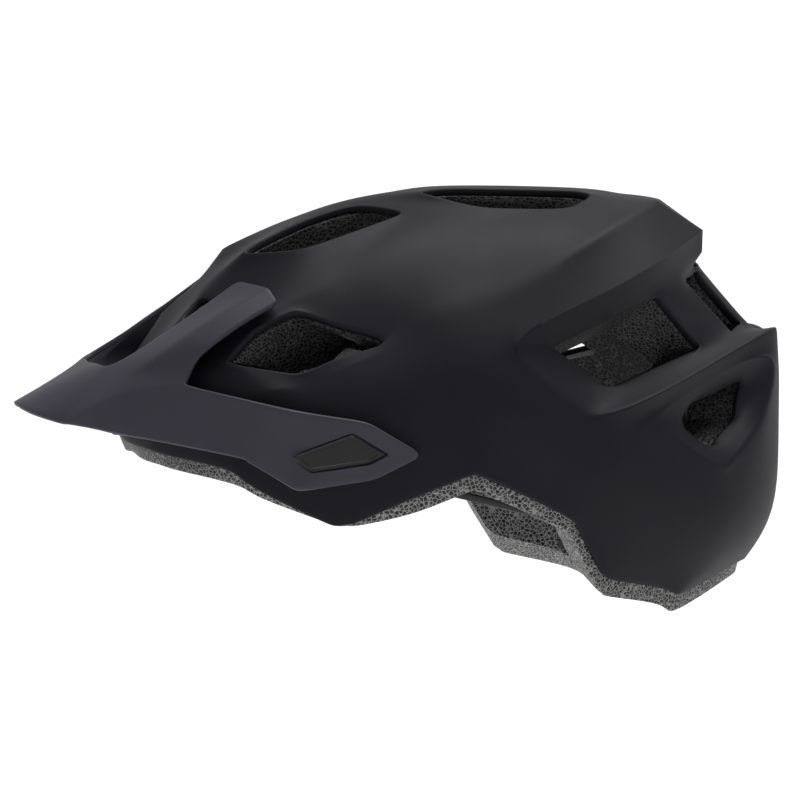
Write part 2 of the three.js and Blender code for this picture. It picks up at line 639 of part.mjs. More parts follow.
// Direction square to the head surface at a point on or near it.
function outward(point) {
  const away = sub(point, HEAD_CENTRE);
  const height = away[2] > 0 ? HEAD_TOP : HEAD_DEPTH;
  return unit([away[0] / HEAD_HALF_WIDTH ** 2, away[1] / HEAD_HALF_LENGTH ** 2, away[2] / height ** 2]);
}

function headRibbon(controls, inward, width, thickness, count) {
  const points = curvePoints(controls.map((point) => headPoint(point, inward)), count);
  const onHead = points.map((point) => headPoint(point, inward));
  return ribbon(onHead, onHead.map(outward), width, thickness);
}

const turnPoint = (degrees, side = 1) => {
  const angle = THREE.MathUtils.degToRad(degrees);
  const y = -HEAD_HALF_LENGTH * Math.cos(angle);
  return [side * HEAD_HALF_WIDTH * Math.sin(angle), y, ringHeight(y)];
};

function arcPlate(radius, thickness, fromAngle, toAngle, low, high, steps) {
  const rings = [];
  for (let i = 0; i <= steps; i += 1) {
    const angle = THREE.MathUtils.degToRad(fromAngle + (toAngle - fromAngle) * i / steps);
    const at = (r, z) => [r * Math.sin(angle), RING_CENTRE_Y + r * Math.cos(angle), z];
    rings.push([
      at(radius, low), at(radius + thickness, low), at(radius + thickness, high), at(radius, high),
    ]);
  }
  return loft(rings);
}

function buildHeadRing() {
  const front = [-58, -40, -20, 0, 20, 40, 58].map((angle) => turnPoint(angle));
  addPart('ring_front', headRibbon(front, RING_INWARD, 9, 1.4, 24), 'plastic');
  for (const [side, label] of [[1, 'left'], [-1, 'right']]) {
    const route = [61, 80, 100, 118].map((angle) => turnPoint(angle, side));
    addPart(`ring_side_${label}`, headRibbon(route, RING_INWARD, 3.2, 1.8, 12), 'plastic');
  }
}

// Cradle behind the head, the two racks, the housing that guides them and the dial.
function buildCradle() {
  const window = (from, to) => toSolid(arcPlate(RACK_RADIUS - 8, 16, from, to, -34, -12, 6));
  let plate = toSolid(arcPlate(RACK_RADIUS - 3.4, 1.8, -44, 44, -37, -9, 20));
  for (const [from, to] of [[-39, -18], [18, 39]]) plate = plate.subtract(window(from, to));
  plate = plate.subtract(toSolid(cylinderAlong('y', 3.4, 20, [0, RING_CENTRE_Y + RACK_RADIUS, DIAL_Z])));
  addPart('cradle', toGeometry(plate), 'plastic');

  const rack = { left: [2, 50, 1], right: [2, 50, -1] };
  for (const [label, [from, to, side]] of Object.entries(rack)) {
    const middle = DIAL_Z + side * RACK_OFFSET;
    const plate1 = arcPlate(RACK_RADIUS - 1.1, 1.4, side * from, side * to, middle - 1.6, middle + 1.6, 14);
    addPart(`rack_${label}`, plate1, 'plastic');
  }

  const back = RING_CENTRE_Y + RACK_RADIUS;
  let housing = toSolid(block([40, 4.4, 27], [0, back + 3.2, DIAL_Z]));
  housing = housing.subtract(toSolid(arcPlate(RACK_RADIUS - 20, 20.9, -30, 30, -40, 0, 16)));
  housing = housing.subtract(toSolid(cylinderAlong('y', PINION_RADIUS + 0.6, 20, [0, back, DIAL_Z])));
  addPart('dial_housing', toGeometry(housing), 'plastic');

  const hub = [[0, -1], [PINION_RADIUS, -1], [PINION_RADIUS, 6.2], [0, 6.2]];
  addPart('dial_pinion', turned(hub, 'y', [0, back, DIAL_Z]), 'plastic');
  const knob = [[0, 6.6], [13, 6.6], [14.5, 8], [14.5, 11], [12.5, 13], [0, 13]];
  addPart('dial_knob', turned(knob, 'y', [0, back, DIAL_Z], 32), 'knob');
}

// Strip on the liner that the cradle hangs from and steps up and down on.
function buildHanger() {
  const controls = [[0, 100, 58], [0, 106, 40], [0, 110, 20]];
  addPart('cradle_hanger', headRibbon(controls, 3, 14, 1.6, 8), 'plastic');
  const arm = ribbon(
    [[0, 91, -7.6], [0, 96, 2], [0, 99.5, 14], [0, 100.8, 30]],
    Array(4).fill([0, 1, 0]), 10, 1.6,
  );
  addPart('cradle_arm', arm, 'plastic');
}

// ---------------------------------------------------------------- pads
const PAD_THICKNESS = 6;
const PAD_INWARD = 5.4;
const roundedEnds = (width) => (t) => width * (0.35 + 0.65 * Math.min(1, 6 * Math.min(t, 1 - t)) ** 0.5);

// A point of the liner's inside above the plan position (x, y).
function roofPoint(x, y) {
  const share = Math.max(0, 1 - (x / HEAD_HALF_WIDTH) ** 2 - (y / HEAD_HALF_LENGTH) ** 2);
  return [x, y, HEAD_CENTRE[2] + HEAD_TOP * Math.sqrt(share)];
}

function buildPads() {
  const browPoint = (degrees) => add(turnPoint(degrees), [0, 0, 6]);
  const brow = [-50, -34, -17, 0, 17, 34, 50].map(browPoint);
  addPart('brow_pad', headRibbon(brow, PAD_INWARD + 2.2, roundedEnds(22), PAD_THICKNESS, 20), 'pad');
  const crown = { front: [-84, -55, -26], rear: [24, 52, 80] };
  for (const [label, stations] of Object.entries(crown)) {
    const route = stations.map((y) => roofPoint(0, y));
    addPart(`crown_pad_${label}`, headRibbon(route, PAD_INWARD, roundedEnds(20), PAD_THICKNESS, 10), 'pad');
  }
  for (const [side, label] of [[1, 'left'], [-1, 'right']]) {
    const rib = [[57, -66], [61, -42], [61, -16]].map(([x, y]) => roofPoint(side * x, y));
    addPart(`side_pad_${label}`, headRibbon(rib, PAD_INWARD, roundedEnds(18), PAD_THICKNESS, 10), 'pad');
    const nape = arcPlate(RACK_RADIUS - 8, 4, side * 20, side * 38, -35, -11, 6);
    addPart(`cradle_pad_${label}`, nape, 'pad');
  }
}

// ---------------------------------------------------------------- straps
// The webbing is stowed: from its four anchors up the inside of the liner to the buckle.
const STRAP_INWARD = 4.6;
const WEBBING = 1;
const FRONT_ANCHOR = [74, -46, 27];
const REAR_ANCHOR = [74, 46, 14];
const DIVIDER = [77, 0, 50];
const BUCKLE_Z = 94.5;

function facingBlock(size, centre, facing, lengthwise) {
  const z = new THREE.Vector3(...facing).normalize();
  const x = new THREE.Vector3(...lengthwise).projectOnPlane(z).normalize();
  const frame = new THREE.Matrix4().makeBasis(x, new THREE.Vector3().crossVectors(z, x), z);
  return new THREE.BoxGeometry(...size).applyMatrix4(frame).translate(...centre);
}

function buildAnchor(point, name) {
  const centre = headPoint(point, 2.4);
  const disc = new THREE.CylinderGeometry(7, 7, 2, 20).rotateX(Math.PI / 2);
  const turn = new THREE.Quaternion().setFromUnitVectors(
    new THREE.Vector3(0, 0, 1), new THREE.Vector3(...outward(centre)),
  );
  addPart(name, disc.applyQuaternion(turn).translate(...centre), 'plastic');
}

function buildStraps() {
  for (const [side, label] of [[1, 'left'], [-1, 'right']]) {
    const here = ([x, y, z]) => [side * x, y, z];
    const legs = { front: FRONT_ANCHOR, rear: REAR_ANCHOR };
    const divider = headPoint(here(DIVIDER), 5.4);
    for (const [end, anchor] of Object.entries(legs)) {
      buildAnchor(here(anchor), `strap_anchor_${end}_${label}`);
      const stop = mix(here(DIVIDER), here(anchor), 0.3);
      const route = [here(anchor), mix(here(anchor), stop, 0.5), stop];
      addPart(`strap_${end}_${label}`, headRibbon(route, STRAP_INWARD, 14, WEBBING, 6), 'webbing');
    }
    const facing = outward(divider);
    const body = facingBlock([17, 20, 4.4], divider, facing, [0, 1, 0]);
    addPart(`strap_divider_${label}`, body, 'plastic');
    const leverCentre = add(divider, scale(facing, -3.6));
    addPart(`divider_lever_${label}`, facingBlock([15, 14, 1.8], leverCentre, facing, [0, 1, 0]), 'knob');
    const route = [here([74, 0, 64]), here([62, 0, 80]), here([45, 0, 95]), here([27, 0, 103])];
    addPart(`chin_strap_${label}`, headRibbon(route, STRAP_INWARD, 16, WEBBING, 12), 'webbing');
  }
}

// Side-release buckle: the tongue on the left enters the housing on the right.
function buildBuckle() {
  const z = BUCKLE_Z;
  let housing = toSolid(block([24, 22, 8], [-9, 0, z]));
  housing = housing.subtract(toSolid(block([22, 17, 4.6], [-4, 0, z])));
  housing = housing.subtract(toSolid(block([11, 30, 4.6], [-5, 0, z])));
  addPart('buckle_housing', toGeometry(housing), 'plastic');
  const head = toSolid(block([15, 20, 6], [11.6, 0, z]));
  addPart('buckle_tongue', toGeometry(head.add(toSolid(block([20, 4.6, 3.4], [-4, 0, z])))), 'plastic');
  for (const [side, label] of [[-1, 'front'], [1, 'rear']]) {
    addPart(`buckle_prong_${label}`, block([11, 3.2, 3.6], [-2.4, side * 6.9, z]), 'knob');
  }
}

buildPivot(1, 'left');
buildPivot(-1, 'right');
buildHeadRing();
buildCradle();
buildHanger();
buildPads();
buildStraps();
buildBuckle();
export default group;
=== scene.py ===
"""Trail cycling helmet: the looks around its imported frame.

Lengths in the tables and helpers are millimetres; meshes are made in metres. +X is the
wearer's left, -Y is forward, +Z is up, and the origin is the centre of the head ring.
"""
import json
import math

import bmesh
import bpy
import numpy as np
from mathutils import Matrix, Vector


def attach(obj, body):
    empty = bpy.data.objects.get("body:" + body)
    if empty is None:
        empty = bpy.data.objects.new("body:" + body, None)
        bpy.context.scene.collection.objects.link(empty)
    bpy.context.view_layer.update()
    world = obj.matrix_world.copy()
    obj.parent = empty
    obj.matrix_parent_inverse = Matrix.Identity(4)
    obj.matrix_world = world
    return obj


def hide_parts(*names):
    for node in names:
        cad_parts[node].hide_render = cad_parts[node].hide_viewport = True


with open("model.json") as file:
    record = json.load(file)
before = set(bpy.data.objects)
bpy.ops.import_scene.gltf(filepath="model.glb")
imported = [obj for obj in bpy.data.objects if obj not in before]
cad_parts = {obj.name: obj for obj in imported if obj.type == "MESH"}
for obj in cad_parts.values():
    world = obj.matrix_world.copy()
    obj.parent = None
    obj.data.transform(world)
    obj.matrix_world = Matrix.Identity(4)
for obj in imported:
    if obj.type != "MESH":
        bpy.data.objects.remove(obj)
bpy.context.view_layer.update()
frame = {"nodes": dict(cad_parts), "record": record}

MM = 0.001
SIDES = ((1, "left"), (-1, "right"))

# ------------------------------------------------------------------ driving dimensions, mm
SHELL_THICKNESS = 1.2
BOND_GAP = 1.6             # between the skin's inner face and the foam
VISOR_THICKNESS = 2.4
HEAD_CENTRE = np.array((0.0, 0.0, 20.0))
HEAD_HALF_WIDTH = 80.0
HEAD_HALF_LENGTH = 110.0
HEAD_TOP = 85.0
HEAD_DEPTH = 140.0
PIVOT_Y = -71.0
PIVOT_Z = 27.0
RING_CENTRE_Y = 19.0
RACK_RADIUS = 70.0
DIAL_Z = -22.0
PINION_RADIUS = 5.0
RACK_OFFSET = 7.0


# ------------------------------------------------------------------ camera, floor and light
CAMERA_AZIMUTH = 77.0
CAMERA_ELEVATION = 4.0
CAMERA_DISTANCE = 1.545
CAMERA_TARGET = Vector((0.0, -0.022, 0.041))
CAMERA_LENS = 162.0
FLOOR_Z = -0.42
FLOOR_HALF = 12.0
ROOM_LEVEL = 0.28
WALL_LEVEL = 1.1
SUN_AZIMUTH = 200
SUN_ELEVATION = 76
SUN_STRENGTH = 3.1
SUN_SPREAD = 50
WALL_FADE = (12.0, 40.0)   # degrees off the middle of the bright wall between which it fades


def direction(azimuth, elevation):
    """Unit vector from the object towards a viewer; azimuth 0 is the front, 90 the left side."""
    a, e = math.radians(azimuth), math.radians(elevation)
    return Vector((math.sin(a) * math.cos(e), -math.cos(a) * math.cos(e), math.sin(e)))


def add_camera():
    data = bpy.data.cameras.new("camera")
    data.lens = CAMERA_LENS
    data.sensor_width = 36.0
    data.clip_end = 50.0
    camera = bpy.data.objects.new("camera", data)
    away = direction(CAMERA_AZIMUTH, CAMERA_ELEVATION)
    camera.location = CAMERA_TARGET + away * CAMERA_DISTANCE
    camera.rotation_euler = away.to_track_quat("Z", "Y").to_euler()
    bpy.context.collection.objects.link(camera)
    bpy.context.scene.camera = camera


def light_room(tree):
    """A dim room with one bright wall, opposite the main camera."""
    background = tree.nodes["Background"]
    background.inputs["Color"].default_value = (1.0, 1.0, 1.0, 1.0)
    place = tree.nodes.new("ShaderNodeTexCoord")
    towards = tree.nodes.new("ShaderNodeVectorMath")
    towards.operation = "DOT_PRODUCT"
    towards.inputs[1].default_value = -direction(CAMERA_AZIMUTH, CAMERA_ELEVATION)
    tree.links.new(place.outputs["Generated"], towards.inputs[0])
    wall = tree.nodes.new("ShaderNodeMapRange")
    wall.interpolation_type = "SMOOTHSTEP"
    wall.inputs["From Min"].default_value = math.cos(math.radians(WALL_FADE[1]))
    wall.inputs["From Max"].default_value = math.cos(math.radians(WALL_FADE[0]))
    wall.inputs["To Min"].default_value = ROOM_LEVEL
    wall.inputs["To Max"].default_value = WALL_LEVEL
    tree.links.new(towards.outputs["Value"], wall.inputs["Value"])
    tree.links.new(wall.outputs["Result"], background.inputs["Strength"])


def add_sun(name, azimuth, elevation, strength, spread):
    data = bpy.data.lights.new(name, "SUN")
    data.energy = strength
    data.angle = math.radians(spread)
    light = bpy.data.objects.new(name, data)
    light.rotation_euler = direction(azimuth, elevation).to_track_quat("Z", "Y").to_euler()
    bpy.context.collection.objects.link(light)


def add_lights():
    world = bpy.data.worlds.new("studio")
    world.use_nodes = True
    light_room(world.node_tree)
    bpy.context.scene.world = world
    bpy.context.scene.view_settings.view_transform = "Standard"
    add_sun("overhead", SUN_AZIMUTH, SUN_ELEVATION, SUN_STRENGTH, SUN_SPREAD)


def add_floor():
    mesh = bpy.data.meshes.new("floor")
    signs = ((-1, -1), (1, -1), (1, 1), (-1, 1))
    corners = [(FLOOR_HALF * x, FLOOR_HALF * y, FLOOR_Z) for x, y in signs]
    mesh.from_pydata(corners, [], [(0, 1, 2, 3)])
    floor = bpy.data.objects.new("floor", mesh)
    bpy.context.collection.objects.link(floor)
    paint = bpy.data.materials.new("pale_floor")
    paint.use_nodes = True
    surface = paint.node_tree.nodes["Principled BSDF"]
    surface.inputs["Base Color"].default_value = (0.93, 0.93, 0.93, 1.0)
    surface.inputs["Roughness"].default_value = 0.9
    mesh.materials.append(paint)


# ------------------------------------------------------------------ material helpers
class Nodes:
    """Short ways to add the nodes of one material. Coordinates are the piece's own, in metres."""

    def __init__(self, name):
        self.material = bpy.data.materials.new(name)
        self.material.use_nodes = True
        self.tree = self.material.node_tree
        self.surface = self.tree.nodes["Principled BSDF"]
        self.place = self.add("ShaderNodeTexCoord").outputs["Object"]

    def add(self, kind, **settings):
        node = self.tree.nodes.new(kind)
        for key, value in settings.items():
            setattr(node, key, value)
        return node

    def link(self, source, target):
        self.tree.links.new(source, target)

    def set(self, **values):
        for key, value in values.items():
            self.surface.inputs[key.replace("_", " ")].default_value = value

    def noise(self, scale, detail=3.0, roughness=0.5):
        node = self.add("ShaderNodeTexNoise")
        node.inputs["Scale"].default_value = scale
        node.inputs["Detail"].default_value = detail
        node.inputs["Roughness"].default_value = roughness
        self.link(self.place, node.inputs["Vector"])
        return node.outputs["Fac"]

    def voronoi(self, scale, feature="F1", output="Distance"):
        node = self.add("ShaderNodeTexVoronoi", feature=feature)
        node.inputs["Scale"].default_value = scale
        self.link(self.place, node.inputs["Vector"])
        return node.outputs[output]

    def wave(self, scale, direction_axis="X", distortion=0.0):
        node = self.add("ShaderNodeTexWave", bands_direction=direction_axis)
        node.inputs["Scale"].default_value = scale
        node.inputs["Distortion"].default_value = distortion
        self.link(self.place, node.inputs["Vector"])
        return node.outputs["Fac"]

    def math(self, operation, a, b):
        node = self.add("ShaderNodeMath", operation=operation)
        for socket, value in zip(node.inputs, (a, b)):
            if isinstance(value, (int, float)):
                socket.default_value = value
            else:
                self.link(value, socket)
        return node.outputs[0]

    def ramp(self, factor, stops):
        node = self.add("ShaderNodeValToRGB")
        while len(node.color_ramp.elements) < len(stops):
            node.color_ramp.elements.new(0.5)
        for element, (position, value) in zip(node.color_ramp.elements, stops):
            element.position = position
            element.color = (*value, 1.0) if isinstance(value, tuple) else (value, value, value, 1.0)
        self.link(factor, node.inputs["Fac"])
        return node.outputs["Color"]

    def span(self, factor, low, high):
        node = self.add("ShaderNodeMapRange")
        node.inputs["To Min"].default_value = low
        node.inputs["To Max"].default_value = high
        self.link(factor, node.inputs["Value"])
        return node.outputs["Result"]

    def bump(self, height, distance, strength=1.0, below=None):
        node = self.add("ShaderNodeBump")
        node.inputs["Strength"].default_value = strength
        node.inputs["Distance"].default_value = distance
        self.link(height, node.inputs["Height"])
        if below is not None:
            self.link(below, node.inputs["Normal"])
        return node.outputs["Normal"]

    def finish(self, color=None, roughness=None, normal=None):
        for name, source in (("Base Color", color), ("Roughness", roughness), ("Normal", normal)):
            if source is not None:
                self.link(source, self.surface.inputs[name])
        return self.material


def tint(level, shade):
    """A near-grey colour: the level times a slight shade."""
    return tuple(level * part for part in shade)


def soft_touch(name, level, shade, roughness, specular):
    """Matt moulded skin: very fine grain, faint cloudiness and a soft sheen."""
    m = Nodes(name)
    m.set(Specular_IOR_Level=specular)
    cloud = m.noise(18.0, 4.0)
    color = m.ramp(cloud, [(0.3, tint(level * 0.86, shade)), (0.7, tint(level * 1.14, shade))])
    rough = m.span(m.noise(55.0, 3.0), roughness - 0.04, roughness + 0.05)
    grain = m.noise(2600.0, 2.0)
    return m.finish(color, rough, m.bump(grain, 0.00008, 0.35))


BEADS_PER_METRE = 620.0
# Painted shade: above the rim's height the foam's colour is darkened, standing in for the shade inside
# the vents.
VENT_PAINTED_SHADE = 0.20          # share of the foam's colour that is left inside the vents
FOAM_PAINTED_SHADE_Z = (0.010, 0.032)   # heights between which the foam darkens, in metres


def painted_shade_by_height(m, low, high, level):
    """Painted shade by height: 1 below the low height and the given level above the high one."""
    place = m.add("ShaderNodeTexCoord")
    parts = m.add("ShaderNodeSeparateXYZ")
    m.link(place.outputs["Object"], parts.inputs["Vector"])
    fade = m.add("ShaderNodeMapRange")
    fade.inputs["From Min"].default_value = low
    fade.inputs["From Max"].default_value = high
    fade.inputs["To Min"].default_value = 1.0
    fade.inputs["To Max"].default_value = level
    m.link(parts.outputs["Z"], fade.inputs["Value"])
    return fade.outputs["Result"]


def beaded_foam(name):
    """Expanded polystyrene: polygonal beads, dark in the middle, with pale seams, and painted shade
    that darkens the foam inside the vents.
    """
    m = Nodes(name)
    m.set(Specular_IOR_Level=0.2)
    seam = m.voronoi(BEADS_PER_METRE, "DISTANCE_TO_EDGE")
    shade = m.voronoi(BEADS_PER_METRE, "F1", "Color")
    grey = m.add("ShaderNodeRGBToBW")
    m.link(shade, grey.inputs["Color"])
    bead = m.ramp(grey.outputs["Val"], [(0.25, 0.016), (0.75, 0.046)])
    pale = m.ramp(seam, [(0.03, 1.0), (0.14, 0.0)])
    mix = m.add("ShaderNodeMix", data_type="RGBA")
    m.link(pale, mix.inputs["Factor"])
    m.link(bead, mix.inputs[6])
    mix.inputs[7].default_value = (0.29, 0.29, 0.285, 1.0)
    # Painted shade: the foam's colour is multiplied down above the rim's height, standing in for the
    # shade inside the vents.
    painted_shade = m.add("ShaderNodeMix", data_type="RGBA")
    painted_shade.blend_type = "MULTIPLY"
    painted_shade.inputs["Factor"].default_value = 1.0
    m.link(mix.outputs[2], painted_shade.inputs[6])
    m.link(painted_shade_by_height(m, *FOAM_PAINTED_SHADE_Z, VENT_PAINTED_SHADE), painted_shade.inputs[7])
    domes = m.bump(m.math("MINIMUM", seam, 0.3), 0.0012, 0.8)
    return m.finish(painted_shade.outputs[2], None, m.bump(m.noise(1600.0), 0.0002, 0.4, domes))


def moulded_plastic(name, level, roughness):
    """Satin nylon with a fine spark-eroded texture."""
    m = Nodes(name)
    m.set(Specular_IOR_Level=0.4)
    color = m.ramp(m.noise(60.0), [(0.3, level * 0.85), (0.7, level * 1.15)])
    rough = m.span(m.noise(90.0), roughness - 0.05, roughness + 0.07)
    return m.finish(color, rough, m.bump(m.noise(1900.0, 2.0), 0.00012, 0.5))


def screw_steel(name):
    m = Nodes(name)
    m.set(Metallic=1.0)
    color = m.ramp(m.noise(700.0), [(0.3, 0.42), (0.7, 0.56)])
    return m.finish(color, m.span(m.noise(300.0), 0.26, 0.42), m.bump(m.noise(1500.0), 0.00004, 0.4))


def brushed_knit(name):
    """Pad cover: fine knit with a brushed nap."""
    m = Nodes(name)
    m.set(Specular_IOR_Level=0.2, Sheen_Weight=0.35, Sheen_Roughness=0.5, Roughness=0.95)
    knit = m.math("ADD", m.voronoi(1500.0), m.noise(420.0, 3.0))
    color = m.ramp(m.noise(160.0, 5.0), [(0.3, 0.010), (0.7, 0.026)])
    return m.finish(color, None, m.bump(knit, 0.0004, 0.6))


def woven_webbing(name):
    """Polyester webbing: fine diagonal ribs across the strap."""
    m = Nodes(name)
    m.set(Specular_IOR_Level=0.25, Roughness=0.8, Sheen_Weight=0.15)
    weave = m.math("MULTIPLY", m.wave(260.0, "DIAGONAL"), m.wave(300.0, "Y"))
    color = m.ramp(weave, [(0.1, 0.006), (0.8, 0.030)])
    return m.finish(color, None, m.bump(weave, 0.0003, 0.7))


def make_materials():
    grey, dusk, violet = (1.0, 1.0, 1.0), (1.0, 0.96, 1.46), (1.0, 0.96, 1.36)
    return {
        "shell": soft_touch("shell_skin", 0.0078, dusk, 0.56, 0.17),
        "visor": soft_touch("visor_skin", 0.036, violet, 0.55, 0.30),
        "foam": beaded_foam("beaded_foam"),
        "cap": soft_touch("cap_skin", 0.009, grey, 0.42, 0.35),
        "plastic": moulded_plastic("satin_nylon", 0.014, 0.42),
        "knob": moulded_plastic("grip_nylon", 0.022, 0.5),
        "pad": brushed_knit("brushed_knit"),
        "webbing": woven_webbing("woven_webbing"),
        "steel": screw_steel("screw_steel"),
    }


MATERIALS = make_materials()


# ------------------------------------------------------------------ piece helpers
def add_piece(name, points, faces, slot, body="helmet", sharp=None):
    """A mesh from points in millimetres, riding on a body."""
    mesh = bpy.data.meshes.new(name)
    mesh.from_pydata([tuple(float(c) * MM for c in point[:3]) for point in points], [], faces)
    mesh.shade_smooth()
    piece = bpy.data.objects.new(name, mesh)
    bpy.context.collection.objects.link(piece)
    if sharp is not None:
        mesh.set_sharp_from_angle(angle=math.radians(sharp))
    return dressed(piece, slot, body)


def dressed(piece, slot, body):
    piece.data.materials.clear()
    piece.data.materials.append(MATERIALS[slot])
    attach(piece, body)
    return piece


def applied(piece):
    """Turns a piece's modifiers into its mesh."""
    graph = bpy.context.evaluated_depsgraph_get()
    mesh = bpy.data.meshes.new_from_object(piece.evaluated_get(graph))
    old = piece.data
    piece.modifiers.clear()
    piece.data = mesh
    mesh.name = piece.name
    bpy.data.meshes.remove(old)
    return piece


def unit(vectors):
    return vectors / np.maximum(np.linalg.norm(vectors, axis=-1, keepdims=True), 1e-9)


# ------------------------------------------------------------------ subdivision surface
SURFACE_LEVELS = 4
FIT_ROUNDS = 6


def edge_key(a, b):
    return (a, b) if a < b else (b, a)


def mirrored_cage(half):
    """Both halves of a mirrored cage. A point is [x, y, z, extra]; creases and corners say for how
    many levels an edge or a point stays sharp; loops name the opening that an edge belongs to."""
    points, index_of = [], {"left": {}, "right": {}}
    for name, point in half["points"].items():
        full = tuple(point) + (0.0,) * (4 - len(point))
        index_of["left"][name] = index_of["right"][name] = len(points)
        points.append(full)
        if point[0] != 0:
            index_of["right"][name] = len(points)
            points.append((-full[0],) + full[1:])
    faces = []
    for line in half["faces"]:
        names = line.split()
        faces.append([index_of["left"][name] for name in names])
        faces.append([index_of["right"][name] for name in reversed(names)])
    creases, loops = {}, {}
    for side, index in index_of.items():
        for line, sharpness in half["creases"]:
            names = line.split()
            for a, b in zip(names, names[1:]):
                creases[edge_key(index[a], index[b])] = sharpness
        for opening, line in half["loops"].items():
            names = line.split()
            for a, b in zip(names, names[1:]):
                loops[edge_key(index[a], index[b])] = opening + "_" + side
    corners = {}
    for line, sharpness in half["corners"]:
        for name in line.split():
            corners[index_of["left"][name]] = corners[index_of["right"][name]] = sharpness
    return {
        "points": np.array(points, float), "faces": faces,
        "creases": creases, "corners": corners, "loops": loops,
    }


def subdivide(cage):
    """One Catmull-Clark step. Boundary edges and creases follow their own curve; corners stay put."""
    points, faces, creases, loops = cage["points"], cage["faces"], cage["creases"], cage["loops"]
    face_points = np.array([points[face].mean(axis=0) for face in faces])
    edges = {}
    for f, face in enumerate(faces):
        for i, a in enumerate(face):
            edges.setdefault(edge_key(a, face[(i + 1) % len(face)]), []).append(f)
    count = len(points)
    valence = np.zeros(count)
    sharp_count = np.zeros(count, int)
    near_sum = np.zeros_like(points)
    sharp_sum = np.zeros_like(points)
    face_sum = np.zeros_like(points)
    for f, face in enumerate(faces):
        face_sum[face] += face_points[f]
    edge_points = np.empty((len(edges), points.shape[1]))
    edge_at = {}
    for e, ((a, b), owners) in enumerate(edges.items()):
        sharp = len(owners) == 1 or creases.get((a, b), 0) > 0
        ends = (points[a] + points[b]) / 2
        edge_points[e] = ends if sharp else (ends + face_points[owners].mean(axis=0)) / 2
        edge_at[(a, b)] = count + len(faces) + e
        valence[a] += 1
        valence[b] += 1
        near_sum[a] += points[b]
        near_sum[b] += points[a]
        if sharp:
            sharp_count[a] += 1
            sharp_count[b] += 1
            sharp_sum[a] += points[b]
            sharp_sum[b] += points[a]
    n = np.maximum(valence, 1)[:, None]
    edge_mean = (points + near_sum / n) / 2
    smooth = (face_sum / n + 2 * edge_mean + (n - 3) * points) / n
    along = points * 3 / 4 + sharp_sum / 8
    moved = np.where((sharp_count > 2)[:, None], points, smooth)
    moved = np.where((sharp_count == 2)[:, None], along, moved)
    fixed = list(cage["corners"])
    moved[fixed] = points[fixed]
    new_creases, new_loops = {}, {}
    for key, sharpness in creases.items():
        if sharpness > 1:
            for end in key:
                new_creases[edge_key(end, edge_at[key])] = sharpness - 1
    for key, opening in loops.items():
        for end in key:
            new_loops[edge_key(end, edge_at[key])] = opening
    new_faces = []
    for f, face in enumerate(faces):
        for i, b in enumerate(face):
            a, c = face[i - 1], face[(i + 1) % len(face)]
            new_faces.append([b, edge_at[edge_key(b, c)], count + f, edge_at[edge_key(a, b)]])
    return {
        "points": np.concatenate((moved, face_points, edge_points)),
        "faces": new_faces, "creases": new_creases, "loops": new_loops,
        "corners": {i: sharpness - 1 for i, sharpness in cage["corners"].items() if sharpness > 1},
    }


def fit_to_points(cage, rounds):
    """Moves the cage until the surface passes through the points it was drawn with."""
    drawn = cage["points"]
    points = drawn.copy()
    for _ in range(rounds):
        surface = subdivide(subdivide({**cage, "points": points}))
        points = points + (drawn - surface["points"][:len(points)]) * 0.8
    return {**cage, "points": points}


def surface_of(half):
    surface = fit_to_points(mirrored_cage(half), FIT_ROUNDS)
    for _ in range(SURFACE_LEVELS):
        surface = subdivide(surface)
    return surface


def facings(points, faces):
    """Facing of each quad, as long as twice its area."""
    a, b, c, d = (points[column, :3] for column in np.array(faces).T)
    return np.cross(c - a, d - b)


def vertex_normals(points, faces):
    normals = np.zeros((len(points), 3))
    for column in np.array(faces).T:
        np.add.at(normals, column, facings(points, faces))
    return unit(normals)


def fold_allowances(points, faces, normals):
    """How much further a point has to move along its normal for the faces around it to keep a
    given distance: more where the surface is folded."""
    facing = unit(facings(points, faces))
    total, count = np.zeros(len(points)), np.zeros(len(points))
    for column in np.array(faces).T:
        np.add.at(total, column, np.sum(facing * normals[column], axis=1))
        np.add.at(count, column, 1)
    return (1 / np.maximum(0.5, total / count))[:, None]


def boundary_steps(faces):
    """Boundary edges in face order, as {start: end}."""
    seen = {}
    for face in faces:
        for i, a in enumerate(face):
            b = face[(i + 1) % len(face)]
            key = edge_key(a, b)
            seen[key] = None if key in seen else (a, b)
    return dict(step for step in seen.values() if step)


def boundary_loops(faces):
    follow = boundary_steps(faces)
    loops = []
    while follow:
        start, here = follow.popitem()
        loop = [start]
        while here != start:
            loop.append(here)
            here = follow.pop(here)
        loops.append(loop)
    return loops


def outward_of_edge(points, normals, loop):
    """At each point of a boundary loop, the direction in the surface that leads off its edge."""
    place = points[loop, :3]
    along = unit(np.roll(place, -1, axis=0) - np.roll(place, 1, axis=0))
    return unit(np.cross(along, normals[loop]))


def closed_wall(faces, outer, inner, rims):
    """Joins an outer and an inner layer along their edges. rims[k] lists the rings, each as many
    points as loop k, that lie between the two layers."""
    loops = boundary_loops(faces)
    points = [outer, inner]
    start = len(outer)
    closed = list(faces) + [[i + start for i in reversed(face)] for face in faces]
    total = 2 * start
    for loop, rings in zip(loops, rims):
        rows = [list(loop)]
        for ring in rings:
            rows.append(list(range(total, total + len(loop))))
            points.append(ring)
            total += len(loop)
        rows.append([i + start for i in loop])
        for upper, lower in zip(rows, rows[1:]):
            for k in range(len(loop)):
                j = (k + 1) % len(loop)
                closed.append([upper[j], upper[k], lower[k], lower[j]])
    return np.concatenate(points), closed


# ------------------------------------------------------------------ head space
def head_point(points):
    """Points of the head surface in the directions of the given ones."""
    away = np.atleast_2d(np.asarray(points, float))[:, :3] - HEAD_CENTRE
    half = np.empty((len(away), 3))
    half[:, 0] = HEAD_HALF_WIDTH
    half[:, 1] = HEAD_HALF_LENGTH
    half[:, 2] = np.where(away[:, 2] > 0, HEAD_TOP, HEAD_DEPTH)
    reach = 1 / np.linalg.norm(away / half, axis=1)
    return HEAD_CENTRE + away * reach[:, None]


